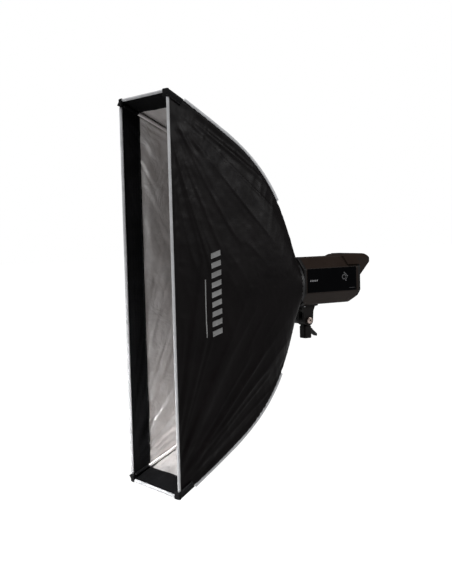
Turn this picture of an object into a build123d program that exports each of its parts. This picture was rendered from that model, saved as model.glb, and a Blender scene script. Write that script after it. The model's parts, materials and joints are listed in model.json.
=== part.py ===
from build123d import *
import os
from math import asin, atan2, cos, degrees, radians, sin, tan

# A 25 x 100 cm strip softbox on its rotating speedring, locked to a compact flash head on a tilting stand bracket.
# Millimetres. +Z up. The softbox opens towards -Y, and the flash head's back faces +Y.
# The origin is the centre of the stand socket's mouth. A depth is measured backwards from the softbox's front
# edge, and a level is measured upwards from the optical axis.

# ---- driving dimensions: frame ----
AXIS_Z = 150.0                       # optical axis above the stand socket's mouth
FRONT_Y = -490.0                     # the softbox's front edge
PIVOT_Z = 50.0                       # tilt axis

# ---- softbox ----
FRONT_WIDTH = 250.0
FRONT_HEIGHT = 1000.0
COLLAR_DEPTH = 412.0                 # from the front edge to the widest ring of the rear collar
REAR_HALF_WIDTH = 60.0               # from the optical axis to a corner seam at that depth
REAR_BULGE = 35.0                    # how far each side panel bulges beyond its seams at that depth
FRONT_BULGE = 0.1
BULGE_GROWTH = 1.3                   # power of the depth that the bulge follows
SEAM_START_ANGLE = 26.5              # slope of the corner seams at the front edge, degrees
SEAM_ARCS = [(247.0, 5.9), (218.0, 28.6), (155.0, 15.8)]   # each arc's length and its turn in degrees
FABRIC = 1.6                         # outer black fabric
FABRIC_GAP = 0.3
LINING = 1.2                         # silver inner fabric
LIP_DEPTH = 50.0                     # black band inside the front edge
TAPE_WIDTH = 8.0                     # grey binding tape
TAPE = 2.4
TAPE_GAP = 0.4                       # between the tape and the seam
SEAM_TAPE_START, SEAM_TAPE_END = 60.0, 362.0
POCKET_LENGTH = 56.0                 # reinforced corner, along the seam
POCKET_RISE = 5.0
POCKET_DROP = 17.0
POCKET_SHEET = 1.8
ROD_RADIUS = 3.0
ROD_INSET = 11.0                     # rod centreline below the seam and inside the side panel
ROD_START = 14.0                     # along the seam
ROD_TAIL = 20.0                      # straight end inside its socket
ROD_LAST_ARC = 143.0
SOCKET_RADIUS = 6.5
COLLAR_RADIUS = 95.0
COLLAR_START = 386.0                 # depth where the panels end and the collar begins
COLLAR_END = 418.0
HEM_RADIUS = 80.0
HEM_ROLL = 1.8

# ---- speedring and bayonet ----
RING_RADIUS = 76.0
RING_FRONT, RING_LIP, RING_BACK = 416.0, 431.0, 436.0
RETAINER = 3.0
BEARING_RADIUS = 62.0
RUNNING_CLEARANCE = 0.08
END_GAP = 0.3
RING_SCREW_CIRCLE = 69.0
KNOB_ANGLES = {"a": -35.0, "b": 145.0}
KNOB_DEPTH = 430.0
LIGHT_RADIUS = 43.0                  # clear opening for the light
TUBE_RADIUS = 48.0                   # bayonet tube of the insert
TUBE_END = 449.0
LUG_RADIUS = 51.0
LUG_SPAN = 34.0                      # degrees
LUG_START, LUG_END = 444.2, 447.5
LUG_ANGLES = (90, 210, 330)

# ---- flash head ----
MOUNT_FRONT, MOUNT_BACK, MOUNT_END = 438.0, 444.0, 451.0
MOUNT_RADIUS, MOUNT_BOSS = 58.0, 54.0
BODY_FRONT, BODY_BACK, HEAD_BACK = 452.0, 632.0, 640.0
HEAD_HALF_WIDTH = 62.0
SIDE_LOW, SIDE_HIGH = -22.0, 45.0    # levels of the flat sides
HEAD_LOW, HEAD_HIGH = -56.0, 74.0
FLAT_HALF_WIDTH = 34.0
CORNER_RADIUS = 11.0
WALL = 2.5
SPLIT = 11.5                         # level of the joint between the two casings
EDGE_BREAK = 1.8                     # chamfer round the bezel and the rear frame
HEEL_DEPTH, HEEL_LEVEL = 618.0, -36.0  # the lower rear corner is cut off between these
HOOD_START, HOOD_RAISE = 596.0, 5.0
HANDLE_TIP = 685.0
GRIP_FRONT = 666.0
ARM_LEVEL, TIP_LEVEL = 8.0, 55.0       # lower edge of the handle at its root and at its tip
HANDLE_INNER, HANDLE_OUTER = 34.0, 47.0
ROCKER_SWING = 8.0
FAN_X, FAN_LEVEL, FAN_DEPTH = 0.0, 30.0, 604.0

# ---- tilting stand bracket ----
PIVOT_BORE = 5.03
PIVOT_RADIUS = 4.95
TONGUE_HALF_WIDTH = 7.0
CHEEK_INNER, CHEEK_OUTER = 8.2, 17.0
CHEEK_RADIUS = 15.2
YOKE_SLOT_TOP = 75.0
YOKE_TOP = AXIS_Z + HEAD_LOW
SOCKET_HALF_WIDTH = 14.0
SOCKET_FRONT, SOCKET_REAR = -11.5, 12.5
SOCKET_TOP = 34.0
STUD_BORE = 8.1                      # receives a 16 mm stand stud
STUD_DEPTH = 30.0
LOCK_Z = 19.0
UMBRELLA_BORE = 4.1                  # receives an 8 mm umbrella shaft
UMBRELLA_BOSS = 7.5
UMBRELLA_FRONT, UMBRELLA_REAR = -24.0, 24.0
UMBRELLA_Z = 83.5
UMBRELLA_SCREW_Y = 4.0
UMBRELLA_THREAD = 2.5

SIDE_LEAN = atan2(FRONT_WIDTH / 2 - REAR_HALF_WIDTH, COLLAR_DEPTH)   # radians
QUADRANTS = {"upper_right": (1, 1), "upper_left": (-1, 1), "lower_right": (1, -1), "lower_left": (-1, -1)}
PARTS = {}


def keep(name, *solids):
    """Files one named sub-part, made of one or more separate solids."""
    PARTS[name] = solids[0] if len(solids) == 1 else Compound(children=list(solids))


# ---- plain shapes placed by their limits ----
def block(x0, x1, y0, y1, z0, z1):
    return Pos((x0 + x1) / 2, (y0 + y1) / 2, (z0 + z1) / 2) * Box(x1 - x0, y1 - y0, z1 - z0)


def deep_block(x0, x1, d0, d1, low, high):
    """A block between two depths and two levels."""
    return block(x0, x1, FRONT_Y + d0, FRONT_Y + d1, AXIS_Z + low, AXIS_Z + high)


def bar_x(radius, x0, x1, y, z):
    return Pos((x0 + x1) / 2, y, z) * Rot(0, 90, 0) * Cylinder(radius, x1 - x0)


def bar_y(radius, y0, y1, x, z):
    return Pos(x, (y0 + y1) / 2, z) * Rot(90, 0, 0) * Cylinder(radius, y1 - y0)


def deep_bar(radius, d0, d1, x=0.0, level=0.0):
    """A round bar parallel to the optical axis, between two depths."""
    return bar_y(radius, FRONT_Y + d0, FRONT_Y + d1, x, AXIS_Z + level)


def deep_ring(outer, inner, d0, d1, x=0.0, level=0.0):
    return deep_bar(outer, d0, d1, x, level) - deep_bar(inner, d0 - 1, d1 + 1, x, level)


def side_profile(x0, x1, *corners):
    """A prism across the width, from the corners of its outline as (y, z)."""
    face = Plane.YZ * make_face(Polyline(*corners, close=True))
    return Pos(x0, 0, 0) * extrude(face, amount=x1 - x0)


def across(depth):
    """The plane across the optical axis at a depth. Its x is the part's x and its y points up."""
    return Plane(origin=(0, FRONT_Y + depth, AXIS_Z), x_dir=(1, 0, 0), z_dir=(0, -1, 0))


def round_the_axis(shape, angle):
    """Turns a shape about the optical axis."""
    return Pos(0, 0, AXIS_Z) * Rot(0, -angle, 0) * Pos(0, 0, -AXIS_Z) * shape


def sector(angle, d0, d1):
    """A wedge about the optical axis, centred on +X."""
    reach = 100.0
    half = radians(angle / 2)
    corners = [(0, 0), (reach * cos(half), -reach * sin(half)), (reach * cos(half), reach * sin(half))]
    return extrude(across(d1) * make_face(Polyline(*corners, close=True)), amount=d1 - d0)


def mirror_sides(shape):
    return shape, mirror(shape, about=Plane.YZ)


def mirror_levels(shape):
    return shape, mirror(shape, about=Plane.XY.offset(AXIS_Z))


def in_quadrant(shape, quadrant):
    """Mirrors a shape made for the upper right corner into another corner."""
    side, level = QUADRANTS[quadrant]
    shape = shape if side > 0 else mirror_sides(shape)[1]
    return shape if level > 0 else mirror_levels(shape)[1]


# ---- the corner seams: tangent arcs in a plane that leans inwards ----
def side_plane(inset=0.0):
    """The plane through the right-hand seams, or one parallel to it further in. Its x runs backwards, its y up."""
    outward = Vector(cos(SIDE_LEAN), sin(SIDE_LEAN), 0)
    origin = Vector(FRONT_WIDTH / 2, FRONT_Y, AXIS_Z) - outward * inset
    return Plane(origin=origin, x_dir=(-sin(SIDE_LEAN), cos(SIDE_LEAN), 0), z_dir=outward)


def seam(inset=0.0, skip=0.0, tail=0.0, arcs=SEAM_ARCS):
    """The seam, moved in by inset, begun skip mm along it, and ended with a straight tail."""
    slope = radians(SEAM_START_ANGLE)
    radius = arcs[0][0] / radians(arcs[0][1])
    skipped = skip / radius
    x = radius * (sin(slope + skipped) - sin(slope)) - inset * sin(slope + skipped)
    y = FRONT_HEIGHT / 2 + radius * (cos(slope + skipped) - cos(slope)) - inset * cos(slope + skipped)
    start, slope, lines = Vector(x, y), slope + skipped, []
    for length, turn in arcs:
        turn_left = turn - degrees(skipped)
        lines.append(JernArc(start, (cos(slope), -sin(slope)), length / radians(turn) - inset, -turn_left))
        start, slope, skipped = lines[-1] @ 1, slope + radians(turn_left), 0.0
    if tail:
        lines.append(Line(start, start + Vector(cos(slope), -sin(slope)) * tail))
    return lines


def seam_level(depth, inset=0.0):
    """The level at a depth of the upper seam, moved in by inset."""
    reach, slope = depth / cos(SIDE_LEAN), radians(SEAM_START_ANGLE)
    x, y = -inset * sin(slope), FRONT_HEIGHT / 2 - inset * cos(slope)
    for length, turn in SEAM_ARCS:
        radius = length / radians(turn) - inset
        end_slope = slope + radians(turn)
        end_x = x + radius * (sin(end_slope) - sin(slope))
        if reach <= end_x or (length, turn) == SEAM_ARCS[-1]:
            here = asin(sin(slope) + (reach - x) / radius)
            return y + radius * (cos(here) - cos(slope))
        x, y, slope = end_x, y + radius * (cos(end_slope) - cos(slope)), end_slope


def edges_of(lines):
    return [edge for line in lines for edge in line.edges()]


def side_outline(inset=0.0):
    """A side's outline in its own plane: front edge, upper seam, rear edge, lower seam."""
    upper = seam(inset)
    lower = [mirror(line, about=Plane.XZ) for line in upper]
    ends = [Line(lower[0] @ 0, upper[0] @ 0), Line(upper[-1] @ 1, lower[-1] @ 1)]
    return make_face(Wire(edges_of([*upper, *lower, *ends])))


def seam_strip(inset, thickness):
    """The thin face between the seam moved in by inset and the seam moved further in."""
    outer, inner = seam(inset), seam(inset + thickness)
    ends = [Line(outer[0] @ 0, inner[0] @ 0), Line(outer[-1] @ 1, inner[-1] @ 1)]
    return make_face(Wire(edges_of([*outer, *inner, *ends])))


def depth_slab(d0, d1):
    return deep_block(-400, 400, d0, d1, -700, 700)


# ---- softbox fabric ----
def seam_half_width(depth):
    return FRONT_WIDTH / 2 - depth * tan(SIDE_LEAN)


def bulge(depth):
    return FRONT_BULGE + (REAR_BULGE - FRONT_BULGE) * (depth / COLLAR_DEPTH) ** BULGE_GROWTH


def side_panel(inset, thickness, d0, d1):
    """The right side panel: it bulges more the further back it goes, and its edges follow the seams."""
    steps = max(2, round((d1 - d0) / 40))
    sections = []
    for step in range(steps + 1):
        depth = d0 + (d1 - d0) * step / steps
        x, level = seam_half_width(depth) - inset, seam_level(depth, inset)
        middle = x + bulge(depth)
        outer = ThreePointArc((x, -level), (middle, 0), (x, level))
        inner = ThreePointArc((x - thickness, -level), (middle - thickness, 0), (x - thickness, level))
        ends = [Line(outer @ 0, inner @ 0), Line(outer @ 1, inner @ 1)]
        sections.append(across(depth) * make_face(Wire(edges_of([outer, inner, *ends]))))
    return loft(sections)


def wedge(inset):
    """The space between the two sides' planes, moved in by inset."""
    front_half = FRONT_WIDTH / 2 - inset / cos(SIDE_LEAN)
    reach, lead = COLLAR_DEPTH + 60, 20.0
    front = front_half + lead * tan(SIDE_LEAN)
    rear = front_half - reach * tan(SIDE_LEAN)
    corners = [(front, FRONT_Y - lead), (rear, FRONT_Y + reach), (-rear, FRONT_Y + reach),
               (-front, FRONT_Y - lead)]
    return extrude(make_face(Polyline(*corners, close=True)), amount=FRONT_HEIGHT, both=True)


def end_panel(inset, thickness, width_inset, d0, d1):
    """The top panel: the seam carried straight across from side to side."""
    strip = Pos(20, 0, 0) * (side_plane() * seam_strip(inset, thickness))
    return extrude(strip, amount=FRONT_WIDTH + 60, dir=(-1, 0, 0)) & wedge(width_inset) & depth_slab(d0, d1)


def make_fabric():
    """Four outer panels, four silver lining panels and the black lip inside the front edge."""
    right, left = mirror_sides(side_panel(0, FABRIC, 0, COLLAR_START))
    top, bottom = mirror_levels(end_panel(0, FABRIC, FABRIC + 0.05, 0, COLLAR_START))
    keep("shell_panel_right", right)
    keep("shell_panel_left", left)
    keep("shell_panel_top", top)
    keep("shell_panel_bottom", bottom)

    inner = FABRIC + FABRIC_GAP
    beside = inner + LINING + 0.05
    lining_start = LIP_DEPTH + 0.5
    keep("lining_sides", *mirror_sides(side_panel(inner, LINING, lining_start, COLLAR_START)))
    keep("lining_ends", *mirror_levels(end_panel(inner, LINING, beside, lining_start, COLLAR_START)))
    lip_sides = mirror_sides(side_panel(inner, LINING, 0.2, LIP_DEPTH))
    lip_ends = mirror_levels(end_panel(inner, LINING, beside, 0.2, LIP_DEPTH))
    keep("front_lip", *lip_sides, *lip_ends)


def folded_tape(length):
    """Tape folded over the front edge of both fabric layers. Its x runs backwards and its y along the edge."""
    stack = FABRIC + FABRIC_GAP + LINING
    front, slack, sheet = 0.9, 0.7, 1.0
    tape = Pos((TAPE_WIDTH - front - sheet) / 2, 0, -stack / 2) * Box(TAPE_WIDTH + front + sheet, length,
                                                                     stack + 2 * (sheet + slack))
    slot = Pos((TAPE_WIDTH - front) / 2 + 1, 0, -stack / 2) * Box(TAPE_WIDTH + front + 2, length + 2,
                                                                  stack + 2 * slack)
    return tape - slot


def make_binding():
    """Grey tape round the front edge, and standing along the corner seams."""
    between_pockets = 2 * (POCKET_DROP + 8.0)
    upright = side_plane() * folded_tape(FRONT_HEIGHT - between_pockets)
    level_tape = folded_tape(FRONT_WIDTH - between_pockets)
    place = Pos(0, FRONT_Y, AXIS_Z + FRONT_HEIGHT / 2) * Rot(-SEAM_START_ANGLE, 0, 0) * Rot(0, 0, 90)
    keep("front_binding", *mirror_sides(upright), *mirror_levels(place * level_tape))

    middle, length = (SEAM_TAPE_START + SEAM_TAPE_END) / 2, SEAM_TAPE_END - SEAM_TAPE_START
    strip = seam_strip(-TAPE_WIDTH - TAPE_GAP, TAPE_WIDTH)
    strip &= Pos(middle, 0, 0) * Rectangle(length, 3 * FRONT_HEIGHT)
    fin = extrude(side_plane() * strip, amount=TAPE, dir=(-1, 0, 0))
    keep("seam_binding", *[in_quadrant(fin, quadrant) for quadrant in QUADRANTS])


def make_corner_pockets():
    """Webbing round each front corner, which holds the rod's tip: a side patch, a top patch and a front cap."""
    gap = 0.9
    reach = Pos(POCKET_LENGTH / 2, 0, 0) * Rectangle(POCKET_LENGTH, 3 * FRONT_HEIGHT)
    side_patch = seam_strip(-POCKET_RISE, POCKET_RISE + POCKET_DROP) & reach
    side_patch = extrude(side_plane(-gap - POCKET_SHEET) * side_patch, amount=-POCKET_SHEET)
    top_patch = seam_strip(-gap - POCKET_SHEET, POCKET_SHEET) & reach
    top_patch = extrude(side_plane(-gap - POCKET_SHEET) * top_patch, amount=POCKET_DROP, dir=(-1, 0, 0))
    cap_size = POCKET_DROP + gap + POCKET_SHEET
    cap = Pos(-0.6, FRONT_HEIGHT / 2 + gap + POCKET_SHEET - cap_size / 2,
              gap + POCKET_SHEET - cap_size / 2) * Box(4.6, cap_size, cap_size)
    kept_clear = Pos(-gap - 0.5, 0, 0) * side_outline(-gap - 0.6)
    cap = side_plane() * (cap - extrude(Pos(0, 0, gap) * kept_clear, amount=-60))
    pocket = side_patch + top_patch + cap
    keep("corner_pockets", *[in_quadrant(pocket, quadrant) for quadrant in QUADRANTS])


def make_collar():
    """Elasticated fabric from the panels' rear edge, over the rod sockets, to a hem round the speedring."""
    level, x = seam_level(COLLAR_START), seam_half_width(COLLAR_START)
    bulged = x + bulge(COLLAR_START)
    corner = degrees(atan2(seam_level(COLLAR_DEPTH), REAR_HALF_WIDTH))

    def front_face(inset):
        arc = ThreePointArc((x - inset, -level + inset), (bulged - inset, 0), (x - inset, level - inset))
        other = mirror(arc, about=Plane.YZ)
        ends = [Line(arc @ 0, other @ 0), Line(arc @ 1, other @ 1)]
        return across(COLLAR_START + 0.2) * make_face(Wire(edges_of([arc, other, *ends])))

    def round_face(depth, radius):
        arcs = [CenterArc((0, 0), radius, start, size) for start, size in
                ((-corner, 2 * corner), (corner, 180 - 2 * corner), (180 - corner, 2 * corner),
                 (180 + corner, 180 - 2 * corner))]
        return across(depth) * make_face(Wire(edges_of(arcs)))

    def body(inset):
        funnel = loft([front_face(inset), round_face(COLLAR_DEPTH, COLLAR_RADIUS - inset)], ruled=True)
        tuck = loft([round_face(COLLAR_DEPTH, COLLAR_RADIUS - inset),
                     round_face(COLLAR_END, HEM_RADIUS + HEM_ROLL - inset)], ruled=True)
        return funnel + tuck

    hem = Pos(0, FRONT_Y + COLLAR_END + HEM_ROLL / 2, AXIS_Z) * Rot(90, 0, 0) * Torus(HEM_RADIUS + 0.5, HEM_ROLL)
    keep("rear_collar", body(0) - body(FABRIC) + hem)


# ---- rods and speedring ----
def rod_path():
    arcs = [*SEAM_ARCS[:2], (ROD_LAST_ARC, SEAM_ARCS[2][1])]
    plane = side_plane(ROD_INSET)
    return Wire([plane * edge for edge in edges_of(seam(ROD_INSET, ROD_START, ROD_TAIL, arcs))])


def make_rods():
    path = rod_path()
    rod = sweep(Plane(origin=path @ 0, z_dir=path % 0) * Circle(ROD_RADIUS), path=path)
    for quadrant in QUADRANTS:
        keep("rod_" + quadrant, in_quadrant(rod, quadrant))
    end = path @ 1
    seat = Plane(origin=end, z_dir=path % 1)
    tube = seat * Pos(0, 0, -8) * Cylinder(SOCKET_RADIUS, 22)
    bore = seat * Pos(0, 0, -ROD_TAIL / 2 + 0.1) * Cylinder(ROD_RADIUS + 0.1, ROD_TAIL + 0.2)
    level, back = end.Z - AXIS_Z, RING_FRONT - RETAINER - 0.05
    foot = deep_block(end.X - 14, end.X + 4, back - 7, back, level - 14, level + 2)
    behind = deep_block(0, 120, back, back + 20, 0, 120)
    socket = tube + foot - bore - behind
    keep("rod_sockets", *[in_quadrant(socket, quadrant) for quadrant in QUADRANTS])


def radial_bar(radius, r0, r1, angle, depth=KNOB_DEPTH):
    return round_the_axis(bar_x(radius, r0, r1, FRONT_Y + depth, AXIS_Z), angle)


def make_speedring():
    body = deep_ring(RING_RADIUS, BEARING_RADIUS + RUNNING_CLEARANCE, RING_FRONT, RING_LIP)
    body += deep_ring(RING_RADIUS, 56.0, RING_LIP, RING_BACK)
    retainer = deep_ring(RING_RADIUS, 55.0, RING_FRONT - RETAINER, RING_FRONT)
    screws = []
    for angle in (0, 90, 180, 270):
        hole = deep_bar(2.0, RING_FRONT - RETAINER - 1, RING_FRONT + 8, RING_SCREW_CIRCLE)
        screw = deep_bar(1.9, RING_FRONT - RETAINER, RING_FRONT + 7, RING_SCREW_CIRCLE)
        screw += deep_bar(3.4, RING_FRONT - RETAINER - 2.2, RING_FRONT - RETAINER, RING_SCREW_CIRCLE)
        body -= round_the_axis(hole, angle)
        retainer -= round_the_axis(hole, angle)
        screws.append(round_the_axis(screw, angle))
    for name, angle in KNOB_ANGLES.items():
        body -= radial_bar(2.5, BEARING_RADIUS - 2, RING_RADIUS + 2, angle)
        keep("ring_lock_knob_" + name, ring_lock_knob(angle))
    keep("speedring_body", body)
    keep("speedring_retainer", retainer)
    keep("speedring_screws", *screws)


def ring_lock_knob(angle):
    """A thumb screw through the speedring's rim, with a fluted grip."""
    knob = radial_bar(2.45, BEARING_RADIUS + 0.4, RING_RADIUS + 3, angle) + radial_bar(5.6, 77, 88, angle)
    for flute in range(8):
        turn = radians(flute * 45)
        groove = bar_x(1.2, 76, 90, FRONT_Y + KNOB_DEPTH + 6 * cos(turn), AXIS_Z + 6 * sin(turn))
        knob -= round_the_axis(groove, angle)
    return knob


def make_bayonet():
    """The insert that the speedring turns on, with three lugs, and the flash head's mount ring for it."""
    insert = deep_bar(BEARING_RADIUS, RING_FRONT + END_GAP, RING_LIP - END_GAP)
    insert += deep_bar(TUBE_RADIUS, RING_FRONT + 1, TUBE_END)
    lug = deep_ring(LUG_RADIUS, TUBE_RADIUS - 1, LUG_START, LUG_END) & sector(LUG_SPAN, 430, 460)
    for angle in LUG_ANGLES:
        insert += round_the_axis(lug, angle)
    keep("ring_insert", insert - deep_bar(LIGHT_RADIUS, RING_FRONT - 5, TUBE_END + 5))

    mount = deep_ring(MOUNT_RADIUS, TUBE_RADIUS + 0.3, MOUNT_FRONT, MOUNT_BACK)
    mount += deep_ring(MOUNT_BOSS, LUG_RADIUS + 0.7, MOUNT_BACK, MOUNT_END)
    notch = deep_ring(LUG_RADIUS + 0.5, TUBE_RADIUS - 1, MOUNT_FRONT - 1, MOUNT_BACK + 1)
    notch &= sector(LUG_SPAN + 4, 430, 460)
    for angle in LUG_ANGLES:
        mount -= round_the_axis(notch, angle + 60)
    keep("mount_ring", mount)


# ---- flash head casing ----
def head_section(inset=0.0):
    """The head's cross-section: flat sides, with broad bevels above and below them."""
    half = [(HEAD_HALF_WIDTH, SIDE_LOW), (HEAD_HALF_WIDTH, SIDE_HIGH), (FLAT_HALF_WIDTH, HEAD_HIGH)]
    corners = [*half, *[(-x, level) for x, level in reversed(half)], (-FLAT_HALF_WIDTH, HEAD_LOW),
               (FLAT_HALF_WIDTH, HEAD_LOW)]
    face = make_face(Polyline(*corners, close=True))
    face = fillet(face.vertices(), CORNER_RADIUS)
    return offset(face, amount=-inset) if inset else face


def head_body(d0, d1, inset=0.0):
    """The head's outer form between two depths, with its lower rear corner cut off, all moved in by inset."""
    form = extrude(across(d1) * head_section(inset), amount=d1 - d0)
    heel_slope = atan2(HEEL_LEVEL - HEAD_LOW - 2, HEAD_BACK - HEEL_DEPTH)
    lift = inset / cos(heel_slope)
    far = 60.0
    rise = far * tan(heel_slope)
    heel_y, heel_z = FRONT_Y + HEAD_BACK, AXIS_Z + HEEL_LEVEL + lift
    return form - side_profile(-90, 90, (heel_y - far, heel_z - rise), (heel_y + far, heel_z + rise),
                               (heel_y + far, heel_z - rise - 90), (heel_y - far, heel_z - rise - 90))


def make_casing():
    """Two casing halves, a front bezel, a rear frame and glossy side panels."""
    tube = head_body(BODY_FRONT, BODY_BACK) - head_body(BODY_FRONT - 1, BODY_BACK + 1, WALL)
    upper = tube & deep_block(-100, 100, 300, 800, SPLIT, 200)
    lower = tube & deep_block(-100, 100, 300, 800, -200, SPLIT - 0.1)
    for vent in range(6):
        depth = 530 + vent * 9
        slot = deep_block(-24, 24, depth, depth + 3.5, HEAD_HIGH - 8, HEAD_HIGH + 5)
        upper -= slot
        lower -= Pos(0, 10, HEAD_LOW - HEAD_HIGH) * slot
    upper -= deep_block(-7, 7, 462, 486, HEAD_HIGH - 8, HEAD_HIGH + 5)
    keep("upper_casing", upper)
    keep("lower_casing", lower)

    bezel = head_body(MOUNT_BACK + 0.1, BODY_FRONT - 0.1)
    bezel = chamfer(bezel.faces().sort_by(Axis.Y)[0].edges(), EDGE_BREAK)
    keep("front_bezel", bezel - deep_bar(MOUNT_BOSS + 0.1, MOUNT_BACK, BODY_FRONT + 1))
    frame = head_body(BODY_BACK + 0.1, HEAD_BACK)
    frame = chamfer(frame.faces().sort_by(Axis.Y)[-1].edges(), EDGE_BREAK)
    keep("rear_frame", frame - head_body(BODY_BACK - 1, HEAD_BACK + 1, 6.0))

    panel = deep_block(HEAD_HALF_WIDTH + 0.05, HEAD_HALF_WIDTH + 1.4, BODY_FRONT + 3, BODY_BACK - 8,
                       SIDE_LOW + 1, SIDE_HIGH - 1)
    panel = chamfer(panel.faces().sort_by(Axis.X)[-1].edges(), 0.6)
    keep("side_panels", *mirror_sides(panel))


def make_handle():
    """The hood over the casing's rear, drawn out into a loop handle behind the rear panel."""
    top, tip = AXIS_Z + HEAD_HIGH + HOOD_RAISE, FRONT_Y + HANDLE_TIP
    rear, start = FRONT_Y + HEAD_BACK, FRONT_Y + HOOD_START
    loop = side_profile(-HANDLE_OUTER, HANDLE_OUTER, (rear + 0.1, AXIS_Z + ARM_LEVEL), (rear + 0.1, top),
                        (tip, top), (tip, AXIS_Z + TIP_LEVEL))
    loop = fillet(loop.edges().filter_by(Axis.X).group_by(Axis.Y)[-1].sort_by(Axis.Z)[-1], 16)
    loop = fillet(loop.edges().filter_by(Axis.X).group_by(Axis.Y)[-1].sort_by(Axis.Z)[0], 7)
    loop &= extrude(across(HANDLE_TIP + 5) * head_section(-HOOD_RAISE), amount=60)
    gap_low, gap_high = AXIS_Z - 20, top + 5
    loop -= block(-HANDLE_INNER, HANDLE_INNER, rear - 1, FRONT_Y + GRIP_FRONT, gap_low, gap_high)
    hood = extrude(across(HEAD_BACK + 0.1) * head_section(-HOOD_RAISE), amount=HEAD_BACK + 0.1 - HOOD_START)
    hood -= extrude(across(HEAD_BACK + 5) * head_section(-0.1), amount=HEAD_BACK + 5 - HOOD_START + 5)
    hood &= deep_block(-100, 100, 500, 700, SIDE_HIGH + 6, 200)
    ramp = side_profile(-90, 90, (start - 1, AXIS_Z), (start - 1, top + 1), (start + 9, top + 1),
                        (start, AXIS_Z + HEAD_HIGH), (start, AXIS_Z))
    keep("carry_handle", hood - ramp + loop)


# ---- flash head works ----
def make_light_source():
    """Reflector plate, ring-shaped flash tube, modelling lamp in its holder, and the glass dome over them."""
    plate = deep_bar(50.0, 452.2, 454.2) - deep_bar(13.0, 451, 456)
    for x in (-24.0, 24.0):
        plate -= deep_bar(3.4, 451, 456, x)
    keep("reflector_plate", plate)
    tube_ring = Pos(0, FRONT_Y + 432, AXIS_Z) * Rot(90, 0, 0) * Torus(24.0, 3.2)
    tube_ring -= deep_block(-4, 4, 420, 440, -40, 0)
    for x in (-24.0, 24.0):
        tube_ring += deep_bar(3.0, 432, 462, x)
    keep("flash_tube", tube_ring)
    holder = deep_bar(12.5, 446, 468)
    holder -= deep_bar(8.2, 445, 458)
    keep("lamp_holder", holder)
    lamp = deep_bar(8.0, 430, 457.8)
    lamp += Pos(0, FRONT_Y + 424, AXIS_Z) * Sphere(11.0)
    keep("modelling_lamp", lamp)
    dome = deep_bar(38.0, 405, 452)
    dome += Pos(0, FRONT_Y + 405, AXIS_Z) * Sphere(38.0)
    hollow = deep_bar(36.0, 405, 453) + Pos(0, FRONT_Y + 405, AXIS_Z) * Sphere(36.0)
    keep("glass_dome", dome - hollow)


def make_electronics():
    """Capacitors, circuit boards and the cooling fan."""
    cans = [deep_bar(16.0, 480, 566, x, -22.0) for x in (-35.0, 0.0, 35.0)]
    keep("capacitors", *cans)
    power = deep_block(-44, 44, 474, 580, 4, 5.8)
    power += deep_block(-20, 14, 488, 524, 5.8, 30)
    power += deep_block(20, 40, 496, 556, 5.8, 22)
    keep("power_board", power)
    keep("control_board", deep_block(-40, 40, 612, 613.8, -30, 34))

    frame = deep_block(-30, 30, FAN_DEPTH - 12, FAN_DEPTH + 2, FAN_LEVEL - 22, FAN_LEVEL + 32)
    centre = FAN_LEVEL + 5
    frame -= deep_bar(25.0, FAN_DEPTH - 14, FAN_DEPTH + 4, FAN_X, centre)
    hub = deep_ring(9.0, 2.0, FAN_DEPTH - 1.6, FAN_DEPTH + 2, FAN_X, centre)
    for spoke in range(3):
        arm = bar_x(1.5, 7.5, 26.0, FRONT_Y + FAN_DEPTH + 0.4, AXIS_Z)
        hub += Pos(0, 0, centre) * round_the_axis(arm, 90 + spoke * 120)
    keep("fan_frame", frame + hub)
    rotor = deep_bar(8.5, FAN_DEPTH - 11, FAN_DEPTH - 2, FAN_X, centre)
    rotor += deep_bar(1.95, FAN_DEPTH - 3, FAN_DEPTH + 1, FAN_X, centre)
    for blade in range(7):
        vane = Pos(15.5, FRONT_Y + FAN_DEPTH - 6.5, AXIS_Z) * Rot(35, 0, 0) * Box(17, 1.2, 11)
        vane &= deep_block(0, 40, FAN_DEPTH - 11, FAN_DEPTH - 2.2, -30, 30) & deep_bar(24.2, 560, 640)
        rotor += Pos(0, 0, centre) * round_the_axis(vane, blade * 360 / 7)
    keep("fan_rotor", rotor)


BUTTON_PLACES = [(-38.0, 0.0), (-22.0, 0.0), (22.0, 0.0), (38.0, 0.0)]
PANEL_FRONT, PANEL_BACK = 634.0, 637.0
DIAL_LEVEL, DIAL_RADIUS = -1.0, 10.0
INLET_X, ROCKER_X, FUSE_X, SOCKETS_LEVEL = -24.0, 10.0, 36.0, -20.0
SYNC_X, SYNC_LEVEL, SYNC_BORE = 49.0, -5.0, 1.8


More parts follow.
